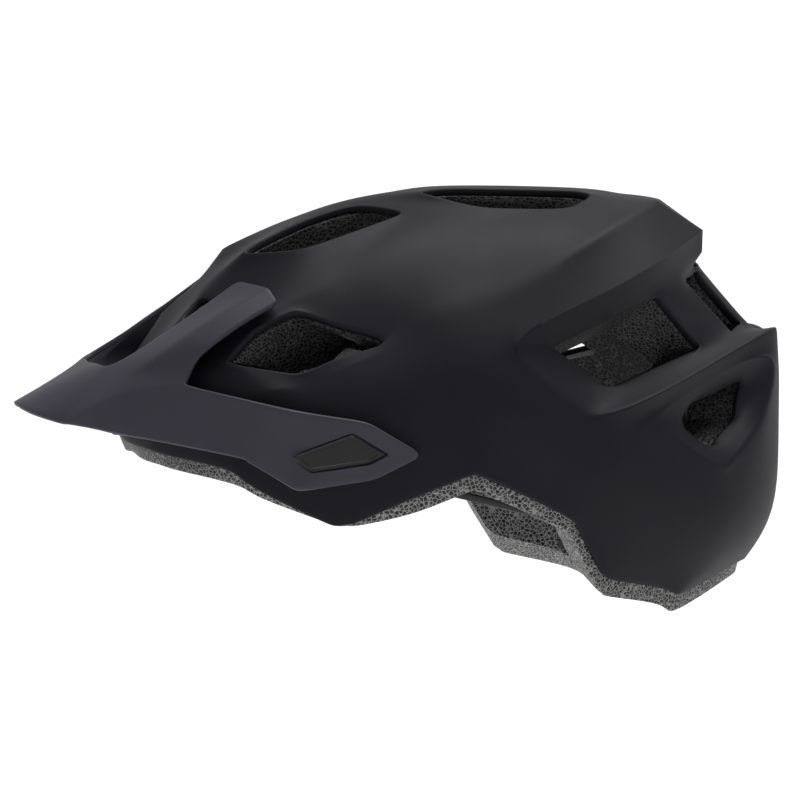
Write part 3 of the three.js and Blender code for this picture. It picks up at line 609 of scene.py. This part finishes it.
# ------------------------------------------------------------------ shell cage, left half
SHELL_POINTS = {
    # Ridge along the centre plane, from the brow over the crown to the nape.
    "c0": [0, -144, 29, 8], "c1": [0, -139, 52], "c2": [0, -128, 68], "c3": [0, -111, 89],
    "c4": [0, -92, 105], "c5": [0, -66, 120], "c6": [0, -40, 128], "c7": [0, -20, 131],
    "c8": [0, 0, 133], "c9": [0, 53, 132], "c10": [0, 76, 129.5], "c11": [0, 92, 127],
    "tailTop": [0, 108, 115], "tailLow": [0, 109, 103],
    "barTop": [0, 111, 98], "barLow": [0, 133, 73], "finTop": [0, 143, 69], "back": [0, 147, 22],
    "napeUp": [0, 144, -8], "nape": [0, 131, -31, 9],
    # Edge of the shell, from beside the brow to beside the nape.
    "e1": [16, -144, 28, 8], "e2": [31, -142, 27, 8], "e3": [44, -138, 26, 8], "e4": [57, -130, 24, 8],
    "e5": [76, -111, 20, 8], "e6": [82, -101, 13, 6], "e7": [93, -71, -2, 2], "e8": [95, -63, -1, 3],
    "e9": [99, -40, 9, 8], "e10": [103, -15, 19, 8], "e11": [103, -6, 16, 8], "e12": [99, 24, 1, 8],
    "e13": [97, 30, -4, 8], "e14": [90, 43, -24, 10], "e15": [87, 48, -28, 10],
    "e16": [70, 78, -35, 10], "e17": [62, 88, -37, 11], "e18": [30, 121, -29, 10],
    # Front: the row above the edge, then the crown rib between the vents and the groove.
    "d1": [18, -139, 53], "d2": [38, -135, 54], "b1": [56, -130, 54], "b2": [54, -117, 68],
    "b3": [64, -104, 77], "b4": [64, -83, 87], "b5": [63, -62, 95], "b6": [62, -44, 102],
    "b7": [61, -22, 107], "b8": [60, 16, 113],
    # Front vent, first and second crown vents.
    "f1": [26, -122, 77], "f2": [20, -112, 87], "f3": [39, -104, 84], "f4": [45, -112, 74],
    "p1": [24, -96, 105], "p2": [16, -69, 118], "p3": [14, -44, 125], "p4": [29, -27, 122],
    "p5": [41, -48, 115], "p6": [45, -74, 107],
    "g1": [22, -19, 130], "g2": [12, -3, 132], "g3": [12, 47, 131], "g4": [26, 56, 129],
    "g5": [38, 41, 123.5], "g6": [38, 4, 124],
    # Front side vent and the shoulder line below it.
    "s1": [70, -112, 62], "s2": [69, -99, 76], "s3": [68, -81, 84], "s4": [75, -63, 77],
    "s5": [82, -47, 71], "s6": [82, -66, 64], "s7": [82, -82, 57],
    "a1": [80, -102, 49], "a2": [83.5, -83, 53], "a3": [85, -64, 61], "a4": [85, -43, 70],
    "a5": [84, -24, 83], "a6": [82, 1, 90], "a7": [76, 28, 103], "a8": [66, 48, 113],
    "a9": [52, 64, 120], "a10": [33, 82, 127],
    "m1": [85, -90, 32], "m2": [91, -73, 36], "m3": [94, -58, 41], "m4": [96, -40, 48],
    "m5": [99, -14, 55], "m6": [102, 8, 38], "m7": [98, 38, 29],
    # Recess of the rear side vents: its upper edge, its openings and the fin under it.
    "l0": [96, 4, 66], "l1": [91, 17, 78], "l2": [84, 43, 89], "l3": [68, 73, 102],
    "l4": [33, 103, 114], "l5": [32, 103, 104],
    "h1": [87, 21, 68], "h2": [80, 47, 79], "h3": [64, 74, 88], "h4": [54, 96, 65], "h5": [83, 47, 50],
    "j1": [38, 93, 93], "j2": [15, 106, 96], "j3": [13, 127, 73], "j4": [30, 117, 70],
    "r1": [97, 35, 40], "r2": [89, 66, 48], "r3": [33, 133, 71],
    # Rear lower vent and the panel around it.
    "w1": [91, 62, 38], "w2": [40, 129, 61], "w3": [44, 128, 35], "w4": [72, 101, 14],
    "v1": [75, 75.5, 38.5], "v2": [41, 118, 50.5], "v3": [47, 113.5, 34.5], "v4": [65, 95.5, 23],
    "k1": [98, 39, 12], "k2": [91, 60, 6], "k3": [76, 92, -8], "k4": [50, 122, -9],
}
SHELL_FACES = [
    # brow
    "c0 e1 d1 c1", "e1 e2 d2 d1", "e2 e3 e4 b1 d2", "e4 e5 a1 b1",
    "c1 d1 f1 c2", "d1 d2 f4 f1", "d2 b1 b2 f4", "c2 f1 f2 c3", "f4 b2 b3 f3",
    # centre band
    "c3 f2 p1 c4", "c4 p1 p2 c5", "c5 p2 p3 c6", "c6 p3 g1 c7", "c7 g1 g2 c8", "c8 g2 g3 c9",
    "c9 g3 g4 c10", "c10 g4 a9 a10", "c10 a10 c11",
    # crown rib
    "f2 f3 p6 p1", "f3 b3 b4 p6", "p6 b4 b5 p5", "p5 b5 b6 p4", "p4 b6 b7 g6", "p3 p4 g6 g1",
    "g6 b7 b8 g5", "g5 b8 a7 a8", "g4 g5 a8 a9", "b7 a5 a6 b8", "b8 a6 a7",
    # around the front side vent
    "b1 a1 s1 b2", "b2 s1 s2 b3", "b3 s2 s3 b4", "b4 s3 s4 b5", "b5 s4 s5 b6", "b6 s5 a4 a5 b7",
    "s1 a1 a2 s7", "s7 a2 a3 s6", "s6 a3 a4 s5",
    # side panel
    "e5 e6 m1 a1", "a1 m1 m2 a2", "e6 e7 m2 m1", "a2 m2 m3 a3", "e7 e8 m3 m2", "a3 m3 m4 a4",
    "e8 e9 m4 m3", "a4 m4 m5 a5", "e9 e10 m5 m4", "a5 m5 l0 a6", "m5 m6 r1 l0",
    "e10 e11 e12 m6 m5", "e12 k1 m7 m6", "m6 m7 r1", "e12 e13 e14 k1", "k1 e14 e15 k2", "k1 k2 w1 m7",
    # upper side panel and tail
    "a6 l0 l1 a7", "a7 l1 l2 a8", "a8 l2 l3 a9", "a9 l3 l4 a10", "c11 a10 l4 tailTop",
    "tailTop l4 l5 tailLow", "tailLow l5 j1 j2 barTop",
    # recess
    "l0 h1 l1", "l1 h1 h2 l2", "l2 h2 h3 l3", "l3 h3 j1 l5 l4", "l0 r1 h5 h1", "h3 h4 j4 j1",
    "j2 j3 barLow barTop", "r1 r2 h4 h5", "r2 r3 j4 h4", "r3 finTop barLow j3 j4",
    # fin, rear lower vent and nape
    "r1 m7 w1 r2", "r2 w1 w2 r3", "w1 v1 v2 w2", "w2 v2 v3 w3", "w3 v3 v4 w4", "w4 v4 v1 w1",
    "r3 w2 w3 back finTop", "w3 k4 napeUp back", "w3 w4 k3 k4", "w4 w1 k2 k3",
    "k2 e15 e16 k3", "k3 e16 e17 e18 k4", "k4 e18 nape napeUp",
]
SHELL_LOOPS = {
    "rim": "c0 e1 e2 e3 e4 e5 e6 e7 e8 e9 e10 e11 e12 e13 e14 e15 e16 e17 e18 nape",
    "front": "f1 f2 f3 f4 f1",
    "crown_front": "p1 p2 p3 p4 p5 p6 p1",
    "crown_rear": "g1 g2 g3 g4 g5 g6 g1",
    "side_front": "s1 s2 s3 s4 s5 s6 s7 s1",
    "side_rear": "h1 h2 h3 h4 h5 h1",
    "tail": "j1 j2 j3 j4 j1",
    "lower_rear": "v1 v2 v3 v4 v1",
}
SHELL_CREASES = [
    ["a1 a2 a3 a4 a5", 3], ["a5 a6 a7", 2], ["a7 a8 a9 a10", 3],
    ["b1 b2 b3 b4 b5", 2],
    ["l0 l1 l2 l3 l4 tailTop", 4], ["l4 l5 tailLow", 4], ["l0 r1 r2 r3 finTop", 3],
    ["a10 c11", 3], ["a10 l4", 3],
    ["w1 w2 w3 w4 w1", 3], ["l5 j1", 2], ["tailLow barTop", 1],
]
# Points that stay sharp, and for how many levels.
SHELL_CORNERS = [
    ["f1 f2 f3 f4", 1], ["p1 p3 p4 p6", 1], ["g1 g2 g3 g4 g5 g6", 1],
    ["s1 s2 s3 s7", 2], ["s4 s6", 1], ["h1 h2 h3 h4 h5", 3],
    ["j1 j2 j3 j4", 3], ["v1 v2 v3 v4", 2], ["w1 w3 w4", 2],
    ["e7 e8 e10 e11 e13 e14 e15 r1", 2], ["l0", 1],
]
SHELL_HALF = {
    "points": SHELL_POINTS, "faces": SHELL_FACES, "loops": SHELL_LOOPS, "creases": SHELL_CREASES,
    "corners": SHELL_CORNERS,
}

# Rolled edge of the skin around each opening: how far off the edge and how deep, ring by ring.
SKIN_LIP = [(0.35, 0.08), (0.7, 0.3), (0.95, 0.7), (1.0, 1.3), (1.0, 2.6), (0.85, 2.9), (0.45, 2.9),
            (0.25, 2.6), (0.2, 1.6)]
SKIN_LIP_REACH = 1.0
EDGE_SMOOTHING = 4         # passes over the facing of the edge, so that corners don't twist the lip


def room_at_edge(place, off):
    """Share of the lip that fits at each point of a loop, less where two of its sides meet."""
    gap = np.linalg.norm(place[:, None] - place[None], axis=2)
    facing = off @ off.T
    gap[facing > -0.2] = 1e3    # only sides that face each other limit the lip
    room = np.clip(gap.min(axis=1) * 0.3 / SKIN_LIP_REACH, 0.0, 1.0)
    along = unit(np.roll(place, -1, axis=0) - place)
    turn = np.sum(along * np.roll(along, 1, axis=0), axis=1)
    corner = np.clip((turn - 0.2) / 0.6, 0.05, 1.0)
    beside = np.minimum(np.roll(corner, 1), np.roll(corner, -1)) * 0.5 + 0.5
    return (room * np.minimum(corner, beside))[:, None]


def edge_ring(points, normals, loop, off, depth):
    """The loop moved off the edge into the opening, and down."""
    place, away = points[loop, :3], outward_of_edge(points, normals, loop)
    down = normals[loop]
    for _ in range(EDGE_SMOOTHING):
        down = unit(down + 0.5 * (np.roll(down, 1, axis=0) + np.roll(down, -1, axis=0)))
    return place + away * room_at_edge(place, away) * off - down * depth


def build_shell(surface, normals, fold):
    points, faces = surface["points"], surface["faces"]
    outer = points[:, :3]
    inner = outer - normals * fold * SHELL_THICKNESS
    rims = [[edge_ring(points, normals, loop, off, depth) for off, depth in SKIN_LIP]
            for loop in boundary_loops(faces)]
    shell = add_piece("shell_skin", *closed_wall(faces, outer, inner, rims), "shell", sharp=50)
    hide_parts("outer_shell")


# Ducts narrow inwards towards one end: which end is kept and the share of the length kept.
DUCT_SLANT = {"side_front": (max, 0.6), "tail": (min, 0.8)}


def opening_of(surface, loop):
    return surface["loops"][edge_key(loop[0], loop[1])]


def liner_inside(surface, loops):
    inside = head_point(surface["points"])
    for loop in loops:
        slant = DUCT_SLANT.get(opening_of(surface, loop).rsplit("_", 1)[0])
        if slant:
            kept = slant[0](inside[loop, 1])
            moved = inside[loop].copy()
            moved[:, 1] = kept + (moved[:, 1] - kept) * slant[1]
            inside[loop] = head_point(moved)
    return inside


# Step of the foam just inside the skin's rolled edge: (how far off the skin's edge, depth).
FOAM_LEDGE = [(-0.2, 3.15), (1.5, 3.2), (2.0, 3.6)]
# Rings along a duct, as shares of the way from the ledge to the head space.
DUCT_SHARES = (0.15, 0.35, 0.55, 0.75, 0.9, 0.97)


def duct_rings(points, normals, loop, inner):
    """Wall of a duct: a narrow ledge inside the skin's edge, then a straight way in."""
    rings = [edge_ring(points, normals, loop, off, depth) for off, depth in FOAM_LEDGE]
    ledge = rings[-1]
    return rings + [ledge + (inner - ledge) * share for share in DUCT_SHARES]


RIM_SET_IN = 0.1           # share of the foam's thickness that the rim's foot is set in by
RIM_RISE = 1.5             # the rim's inner edge is this much higher than its outer one


def hung_rim_rings(outer, inner, drop):
    """Rim of the foam, hanging below the skin's edge with rounded corners."""
    hung = outer + (inner - outer) * RIM_SET_IN
    hung[:, 2] -= drop
    base = head_point(hung)
    base[:, 2] += RIM_RISE
    rings = [outer + (hung - outer) * share for share in (0.35, 0.7, 0.86)]
    start, end = rings[-1], hung + (base - hung) * 0.16
    for t in (0.3, 0.6):
        rings.append(start * (1 - t) ** 2 + hung * 2 * t * (1 - t) + end * t ** 2)
    rings.append(end)
    rings += [hung + (base - hung) * share for share in (0.4, 0.65, 0.84)]
    return rings, base


def build_liner(surface, normals, fold):
    points, faces = surface["points"], surface["faces"]
    outer = points[:, :3] - normals * fold * (SHELL_THICKNESS + BOND_GAP)
    loops = boundary_loops(faces)
    inner = liner_inside(surface, loops)
    rims = []
    for loop in loops:
        if opening_of(surface, loop).startswith("rim"):
            rings, base = hung_rim_rings(outer[loop], inner[loop], points[loop, 3])
            inner[loop] = base
            rims.append(rings)
        else:
            rims.append(duct_rings(points, normals, loop, inner[loop]))
    liner = add_piece("beaded_liner", *closed_wall(faces, outer, inner, rims), "foam", sharp=55)
    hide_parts("foam_liner")


# ------------------------------------------------------------------ visor cage, left half
VISOR_POINTS = {
    # Nose, top panel and the edge behind it, between the arms.
    "n0": [0, -187, 43], "n1": [20, -184, 41], "n2": [36, -173, 37],
    "t0": [0, -157, 59], "t1": [20, -156, 59.5], "t2": [37, -152, 60],
    "o1": [58, -143, 58],
    # Line where the top panel meets the side panel, then the outline of the side panel.
    "q1": [55, -156, 47], "q2": [66, -138, 52], "q3": [71, -128.5, 53],
    "z1": [62, -155, 35], "z2": [87, -113, 27], "z3": [91, -106, 24.5, 1],
    "z4": [102.5, -87.5, 13, 1.2], "z5": [103, -56, 17, 1.2], "z6": [103, -37, 26, 1.2],
    "y1": [101, -89.5, 44, 1.2], "y2": [103, -59, 39, 1.2],
    # Arms: inner edge, outer edge and the foot of the outer skirt.
    "i1": [38, -135, 70], "i2": [39, -117, 82], "i3": [40, -100, 94],
    "o2": [62, -131, 69], "o3": [64, -111, 82], "o4": [63, -92, 92],
    "k2": [69, -124.5, 61], "k3": [71, -118.5, 69], "k4": [71, -104.5, 79], "k5": [70, -90, 87],
}
VISOR_FACES = [
    "n0 n1 t1 t0", "n1 n2 t2 t1", "n2 q1 o1 t2", "t2 o1 o2 i1", "i1 o2 o3 i2", "i2 o3 o4 i3",
    "q1 q2 o1", "o1 q2 q3 k2", "o1 k2 k3 o2", "o2 k3 k4 o3", "o3 k4 k5 o4",
    "n2 z1 q1", "q1 z1 z2 q2", "q2 z2 q3", "z2 z3 y1 q3", "z3 z4 y1", "y1 z4 z5 y2", "y2 z5 z6",
]
VISOR_CREASES = [["n2 q1 q2 q3", 2], ["o1 o2 o3 o4", 2]]
VISOR_CORNERS = [
    ["n2 z1", 2], ["z3 z4 z5 z6", 2], ["y1 y2", 2], ["i3 o4 k5", 2], ["q3", 1],
]
VISOR_HALF = {
    "points": VISOR_POINTS, "faces": VISOR_FACES, "loops": {}, "creases": VISOR_CREASES,
    "corners": VISOR_CORNERS,
}
# Rounded edge of the visor: (how far off the edge, depth).
VISOR_EDGE = [(0.35, 0.1), (0.62, 0.4), (0.75, 0.9), (0.75, 1.5), (0.62, 2.0), (0.35, 2.3)]
# Outline of the cap's pocket in each side plate, as (y, z), and the pocket's section from its
# floor outwards: (how far out from that outline, x).
CAP_OUTLINE = [[-91, 26.5], [-65, 35.5], [-50, 26.5], [-58, 22.5], [-82, 19.5]]
POCKET_SECTION = ((0, 100.6), (0, 102.4), (0.8, 103.1), (2.2, 104.4))
BOLT_HOLE_RADIUS = 2.8
BOLT_HOLE_X = (90.0, 104.0)


def offset_outline(outline, by):
    """Moves each side of a closed outline outwards; the outline may run either way round."""
    pts = np.array(outline, float)
    nxt = np.roll(pts, -1, axis=0)
    area = np.sum(pts[:, 0] * nxt[:, 1] - nxt[:, 0] * pts[:, 1])
    along = unit(nxt - pts)
    out = np.stack((along[:, 1], -along[:, 0]), axis=1) * (1 if area > 0 else -1)
    before = np.roll(out, 1, axis=0)
    mitre = (out + before) / (1 + np.sum(out * before, axis=1))[:, None]
    return pts + mitre * by


def rounded_outline(outline, radius, steps=5):
    """Replaces each corner by a short curve."""
    pts = np.array(outline, float)
    rounded = []
    for i, corner in enumerate(pts):
        before = unit(pts[i - 1] - corner) * radius
        after = unit(pts[(i + 1) % len(pts)] - corner) * radius
        for k in range(steps + 1):
            t = k / steps
            rounded.append(corner + before * (1 - t) ** 2 + after * t ** 2)
    return np.array(rounded)


def lofted(rings):
    """Capped solid through closed rings with equal counts; returns its points and faces."""
    count = len(rings[0])
    faces = [list(range(count))[::-1], [(len(rings) - 1) * count + i for i in range(count)]]
    for r in range(len(rings) - 1):
        for i in range(count):
            j = (i + 1) % count
            faces.append([r * count + i, r * count + j, (r + 1) * count + j, (r + 1) * count + i])
    points = np.concatenate([np.asarray(ring, float) for ring in rings])
    return facing_out(points, faces)


def facing_out(points, faces):
    centre = points.mean(axis=0)
    volume = 0.0
    for face in faces:
        a = points[face[0]] - centre
        for i in range(1, len(face) - 1):
            volume += np.dot(a, np.cross(points[face[i]] - centre, points[face[i + 1]] - centre))
    return (points, faces) if volume > 0 else (points, [face[::-1] for face in faces])


def plate_ring(outline, side, x):
    return [(side * x, y, z) for y, z in outline]


def cut_from(piece, points, faces):
    """Cuts a solid out of a piece."""
    mesh = bpy.data.meshes.new("cutter")
    mesh.from_pydata([tuple(float(c) * MM for c in point) for point in points], [], faces)
    cutter = bpy.data.objects.new("cutter", mesh)
    bpy.context.collection.objects.link(cutter)
    modifier = piece.modifiers.new("cut", "BOOLEAN")
    modifier.operation = "DIFFERENCE"
    modifier.solver = "EXACT"
    modifier.object = cutter
    applied(piece)
    bpy.data.objects.remove(cutter)
    return piece


def build_visor():
    surface = surface_of(VISOR_HALF)
    points, faces = surface["points"], surface["faces"]
    normals = vertex_normals(points, faces)
    outer = points[:, :3]
    depth = VISOR_THICKNESS + points[:, 3]
    inner = outer - normals * depth[:, None]
    rims = []
    for loop in boundary_loops(faces):
        share = depth[loop][:, None] / VISOR_THICKNESS
        off = outward_of_edge(points, normals, loop)
        rims.append([outer[loop] + off * o - normals[loop] * (d * share) for o, d in VISOR_EDGE])
    visor = add_piece("visor_skin", *closed_wall(faces, outer, inner, rims), "visor", body="visor")
    for side, _ in SIDES:
        pocket = [plate_ring(kite(by), side, x) for by, x in POCKET_SECTION]
        cut_from(visor, *lofted(pocket))
        cut_from(visor, *lofted([circle_x(side * x, BOLT_HOLE_RADIUS) for x in BOLT_HOLE_X]))
    visor.data.set_sharp_from_angle(angle=math.radians(34))
    dressed(visor, "visor", "visor")
    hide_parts("visor")


def circle_x(x, radius, count=32):
    """A circle round the visor's pivot axis."""
    turns = [2 * math.pi * k / count for k in range(count)]
    return [(x, PIVOT_Y + radius * math.cos(t), PIVOT_Z + radius * math.sin(t)) for t in turns]


def kite(by, radius=1.4):
    """The cap's outline, moved out by a distance and then rounded."""
    return rounded_outline(offset_outline(CAP_OUTLINE, by), radius)


# Section of the cap from its foot to its middle: (how far in from the pocket's edge, x).
CAP_SECTION = ((0.7, 101.8), (0.7, 102.4), (1.0, 102.7), (1.9, 102.7), (2.2, 102.35), (2.8, 102.35))


def build_caps():
    """Satin covers over the visor bolts, with a plain raised border."""
    for side, label in SIDES:
        rings = [plate_ring(kite(-inset), side, x) for inset, x in CAP_SECTION]
        cap = add_piece("pivot_cap_" + label, *lofted(rings), "cap", body="visor", sharp=20)
        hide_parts("visor_cap_" + label)


# ------------------------------------------------------------------ ring, cradle and fittings
BODIES = frame["record"]["behaviour"]["bodies"]
BODY_OF = {node: body for body, nodes in BODIES.items() for node in nodes}
SLOT_OF = {entry["node"]: entry["material_slot"] for entry in frame["record"]["subparts"]}

# Moulded pieces whose edges are rounded, each with its edge radius in millimetres.
ROUNDED = {
    "ring_front": 0.5, "ring_side_left": 0.6, "ring_side_right": 0.6, "cradle": 0.55,
    "dial_housing": 0.9, "cradle_hanger": 0.5, "cradle_arm": 0.5,
    "strap_anchor_front_left": 0.6, "strap_anchor_front_right": 0.6,
    "strap_anchor_rear_left": 0.6, "strap_anchor_rear_right": 0.6,
    "strap_divider_left": 1.2, "strap_divider_right": 1.2,
    "divider_lever_left": 0.7, "divider_lever_right": 0.7,
    "buckle_housing": 0.9, "buckle_tongue": 0.9,
    "buckle_prong_front": 0.8, "buckle_prong_rear": 0.8,
    "strap_front_left": 0.3, "strap_front_right": 0.3, "strap_rear_left": 0.3, "strap_rear_right": 0.3,
    "chin_strap_left": 0.3, "chin_strap_right": 0.3,
}


def copy_of(node, name):
    """A copy of a node's mesh with its flat faces joined up, riding on the same body."""
    source = frame["nodes"][node]
    mesh = source.data.copy()
    mesh.name = name
    mesh.transform(source.matrix_world)
    work = bmesh.new()
    work.from_mesh(mesh)
    bmesh.ops.remove_doubles(work, verts=work.verts, dist=1e-6)
    bmesh.ops.dissolve_limit(work, angle_limit=math.radians(1.5), verts=work.verts, edges=work.edges)
    work.to_mesh(mesh)
    work.free()
    piece = bpy.data.objects.new(name, mesh)
    bpy.context.collection.objects.link(piece)
    return dressed(piece, SLOT_OF[node], BODY_OF[node])


def build_rounded():
    for node, radius in ROUNDED.items():
        piece = copy_of(node, node + "_moulded")
        bevel = piece.modifiers.new("edges", "BEVEL")
        bevel.width = radius * MM
        bevel.segments = 3
        bevel.limit_method = "ANGLE"
        bevel.angle_limit = math.radians(38)
        applied(piece)
        piece.data.shade_smooth()
        piece.data.set_sharp_from_angle(angle=math.radians(40))
        dressed(piece, SLOT_OF[node], BODY_OF[node])
        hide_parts(node)


# ------------------------------------------------------------------ racks, pinion and knob
TOOTH_PITCH = 2.6
TOOTH_HEIGHT = 0.9
RACK_HALF_HEIGHT = 1.6
RACK_START, RACK_SPAN, RACK_STEPS = 2, 48, 240     # degrees along the ring, and rings per rack
RACK_INNER, RACK_OUTER = -1.1, 0.3                 # faces, off the racks' radius
PINION_TEETH = 12
PINION_SECTION = [(PINION_RADIUS - 0.4, -1), (PINION_RADIUS, -0.6), (PINION_RADIUS, 5.8),
                  (PINION_RADIUS - 0.4, 6.2)]
KNOB_RIBS = 30
KNOB_SMOOTH_RADIUS = 11.5                          # the ribs fade out towards this radius
# Section of the knob from its foot to its face: (radius, how far behind the racks' radius).
KNOB_SECTION = [(11.0, 6.6), (12.6, 6.7), (14.1, 7.7), (14.5, 8.4), (14.5, 10.6), (14.0, 11.5),
                (12.6, 12.7), (11.6, 13.0), (10.8, 12.7), (9.6, 11.9), (8.0, 11.6)]


def rack_profile(turn, side):
    """Low and high edge of a rack at a turn in degrees, relative to its middle."""
    phase = math.radians(turn) * RACK_RADIUS / TOOTH_PITCH % 1.0
    tooth = TOOTH_HEIGHT * (0.5 - 0.5 * math.cos(2 * math.pi * phase))
    low, high = -RACK_HALF_HEIGHT, RACK_HALF_HEIGHT
    return (low - tooth, high) if side > 0 else (low, high + tooth)


def rack_ring(turn, side):
    """Outline of a rack's section at a turn in degrees."""
    low, high = rack_profile(turn, side)
    angle = side * math.radians(turn)
    middle = DIAL_Z + side * RACK_OFFSET
    corners = [(RACK_INNER, low), (RACK_OUTER, low), (RACK_OUTER, high), (RACK_INNER, high)]
    return [((RACK_RADIUS + r) * math.sin(angle),
             RING_CENTRE_Y + (RACK_RADIUS + r) * math.cos(angle), middle + z) for r, z in corners]


def build_racks():
    for side, label in SIDES:
        rings = [rack_ring(RACK_START + RACK_SPAN * step / RACK_STEPS, side)
                 for step in range(RACK_STEPS + 1)]
        node = "rack_" + label
        rack = add_piece("toothed_" + node, *lofted(rings), "plastic", body=node, sharp=35)
        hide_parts(node)


def turned_y(profile, radius_at, count):
    """Rings of a turned piece round the dial's axis; radius_at shapes each ring's outline."""
    back = RING_CENTRE_Y + RACK_RADIUS
    rings = []
    for radius, height in profile:
        ring = []
        for k in range(count):
            angle = 2 * math.pi * k / count
            r = radius_at(radius, angle)
            ring.append((r * math.cos(angle), back + height, DIAL_Z + r * math.sin(angle)))
        rings.append(ring)
    return rings


def pinion_outline(radius, angle):
    return radius - 0.5 + 0.5 * math.cos(PINION_TEETH * angle)


def knob_outline(radius, angle):
    """Deeper ribs towards the knob's widest ring, none at its face."""
    rib = 0.5 - 0.5 * math.cos(KNOB_RIBS * angle)
    return radius - max(0.0, radius - KNOB_SMOOTH_RADIUS) * 0.22 * rib


def build_dial():
    rings = turned_y(PINION_SECTION, pinion_outline, PINION_TEETH * 12)
    pinion = add_piece("toothed_pinion", *lofted(rings), "plastic", body="dial", sharp=35)
    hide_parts("dial_pinion")
    rings = turned_y(KNOB_SECTION, knob_outline, KNOB_RIBS * 12)
    knob = add_piece("grip_knob", *lofted(rings), "knob", body="dial", sharp=40)
    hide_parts("dial_knob")


# ------------------------------------------------------------------ pads
# Each pad and how full its cover is.
PADS = {"brow_pad": 0.55, "crown_pad_front": 0.6, "crown_pad_rear": 0.6, "side_pad_left": 0.6,
        "side_pad_right": 0.6, "cradle_pad_left": 0.5, "cradle_pad_right": 0.5}
PAD_VOXEL = 3.4            # spacing of the cover's own mesh
PAD_SWELL = 1.8           # the cover bulges at most this far
SIM_FRAMES = 14


def evenly_meshed(piece, voxel):
    remesh = piece.modifiers.new("even", "REMESH")
    remesh.mode = "VOXEL"
    remesh.voxel_size = voxel * MM
    return applied(piece)


def add_pressure(piece):
    cloth = piece.modifiers.new("cover", "CLOTH")
    cloth.settings.quality = 6
    cloth.settings.mass = 0.1
    cloth.settings.use_pressure = True
    cloth.settings.uniform_pressure_force = 5.0
    cloth.settings.tension_stiffness = 25
    cloth.settings.compression_stiffness = 25
    cloth.settings.bending_stiffness = 0.4
    cloth.settings.effector_weights.gravity = 0.0
    cloth.settings.shrink_min = -0.06
    cloth.point_cache.frame_start = 1
    cloth.point_cache.frame_end = SIM_FRAMES


def coordinates(mesh):
    flat = np.empty(len(mesh.vertices) * 3)
    mesh.vertices.foreach_get("co", flat)
    return flat.reshape(-1, 3)


def build_pads():
    """Knitted covers over foam, swollen a little by their filling."""
    pads = {node: copy_of(node, node + "_cover") for node in PADS}
    for pad in pads.values():
        evenly_meshed(pad, PAD_VOXEL)
    swell(list(pads.values()))
    for node, pad in pads.items():
        soft = pad.modifiers.new("soft", "SUBSURF")
        soft.levels = soft.render_levels = 2
        applied(pad)
        pad.data.shade_smooth()
        dressed(pad, "pad", BODY_OF[node])
        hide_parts(node)


def swell(pads):
    """Blows the covers up a little with a cloth simulation, each point by PAD_SWELL at most."""
    before = [coordinates(pad.data) for pad in pads]
    for pad in pads:
        add_pressure(pad)
    for number in range(1, SIM_FRAMES + 1):
        bpy.context.scene.frame_set(number)
    for pad, start in zip(pads, before):
        applied(pad)
        moved = coordinates(pad.data) - start
        moved -= moved.mean(axis=0)
        length = np.linalg.norm(moved, axis=1, keepdims=True)
        keep = np.minimum(1.0, PAD_SWELL * MM / np.maximum(length, 1e-9))
        pad.data.vertices.foreach_set("co", (start + moved * keep).ravel())
        pad.data.update()
    bpy.context.scene.frame_set(1)


# ------------------------------------------------------------------ the whole helmet
def paint_frame_nodes():
    """Every carried-over node gets the material of its slot."""
    for entry in frame["record"]["subparts"]:
        node = frame["nodes"][entry["node"]]
        for slot in node.material_slots:
            slot.material = MATERIALS[entry["material_slot"]]


add_camera()
add_lights()
add_floor()
paint_frame_nodes()
shell_surface = surface_of(SHELL_HALF)
shell_normals = vertex_normals(shell_surface["points"], shell_surface["faces"])
shell_fold = fold_allowances(shell_surface["points"], shell_surface["faces"], shell_normals)
build_shell(shell_surface, shell_normals, shell_fold)
build_liner(shell_surface, shell_normals, shell_fold)
build_visor()
build_caps()
build_rounded()
build_racks()
build_dial()
build_pads()
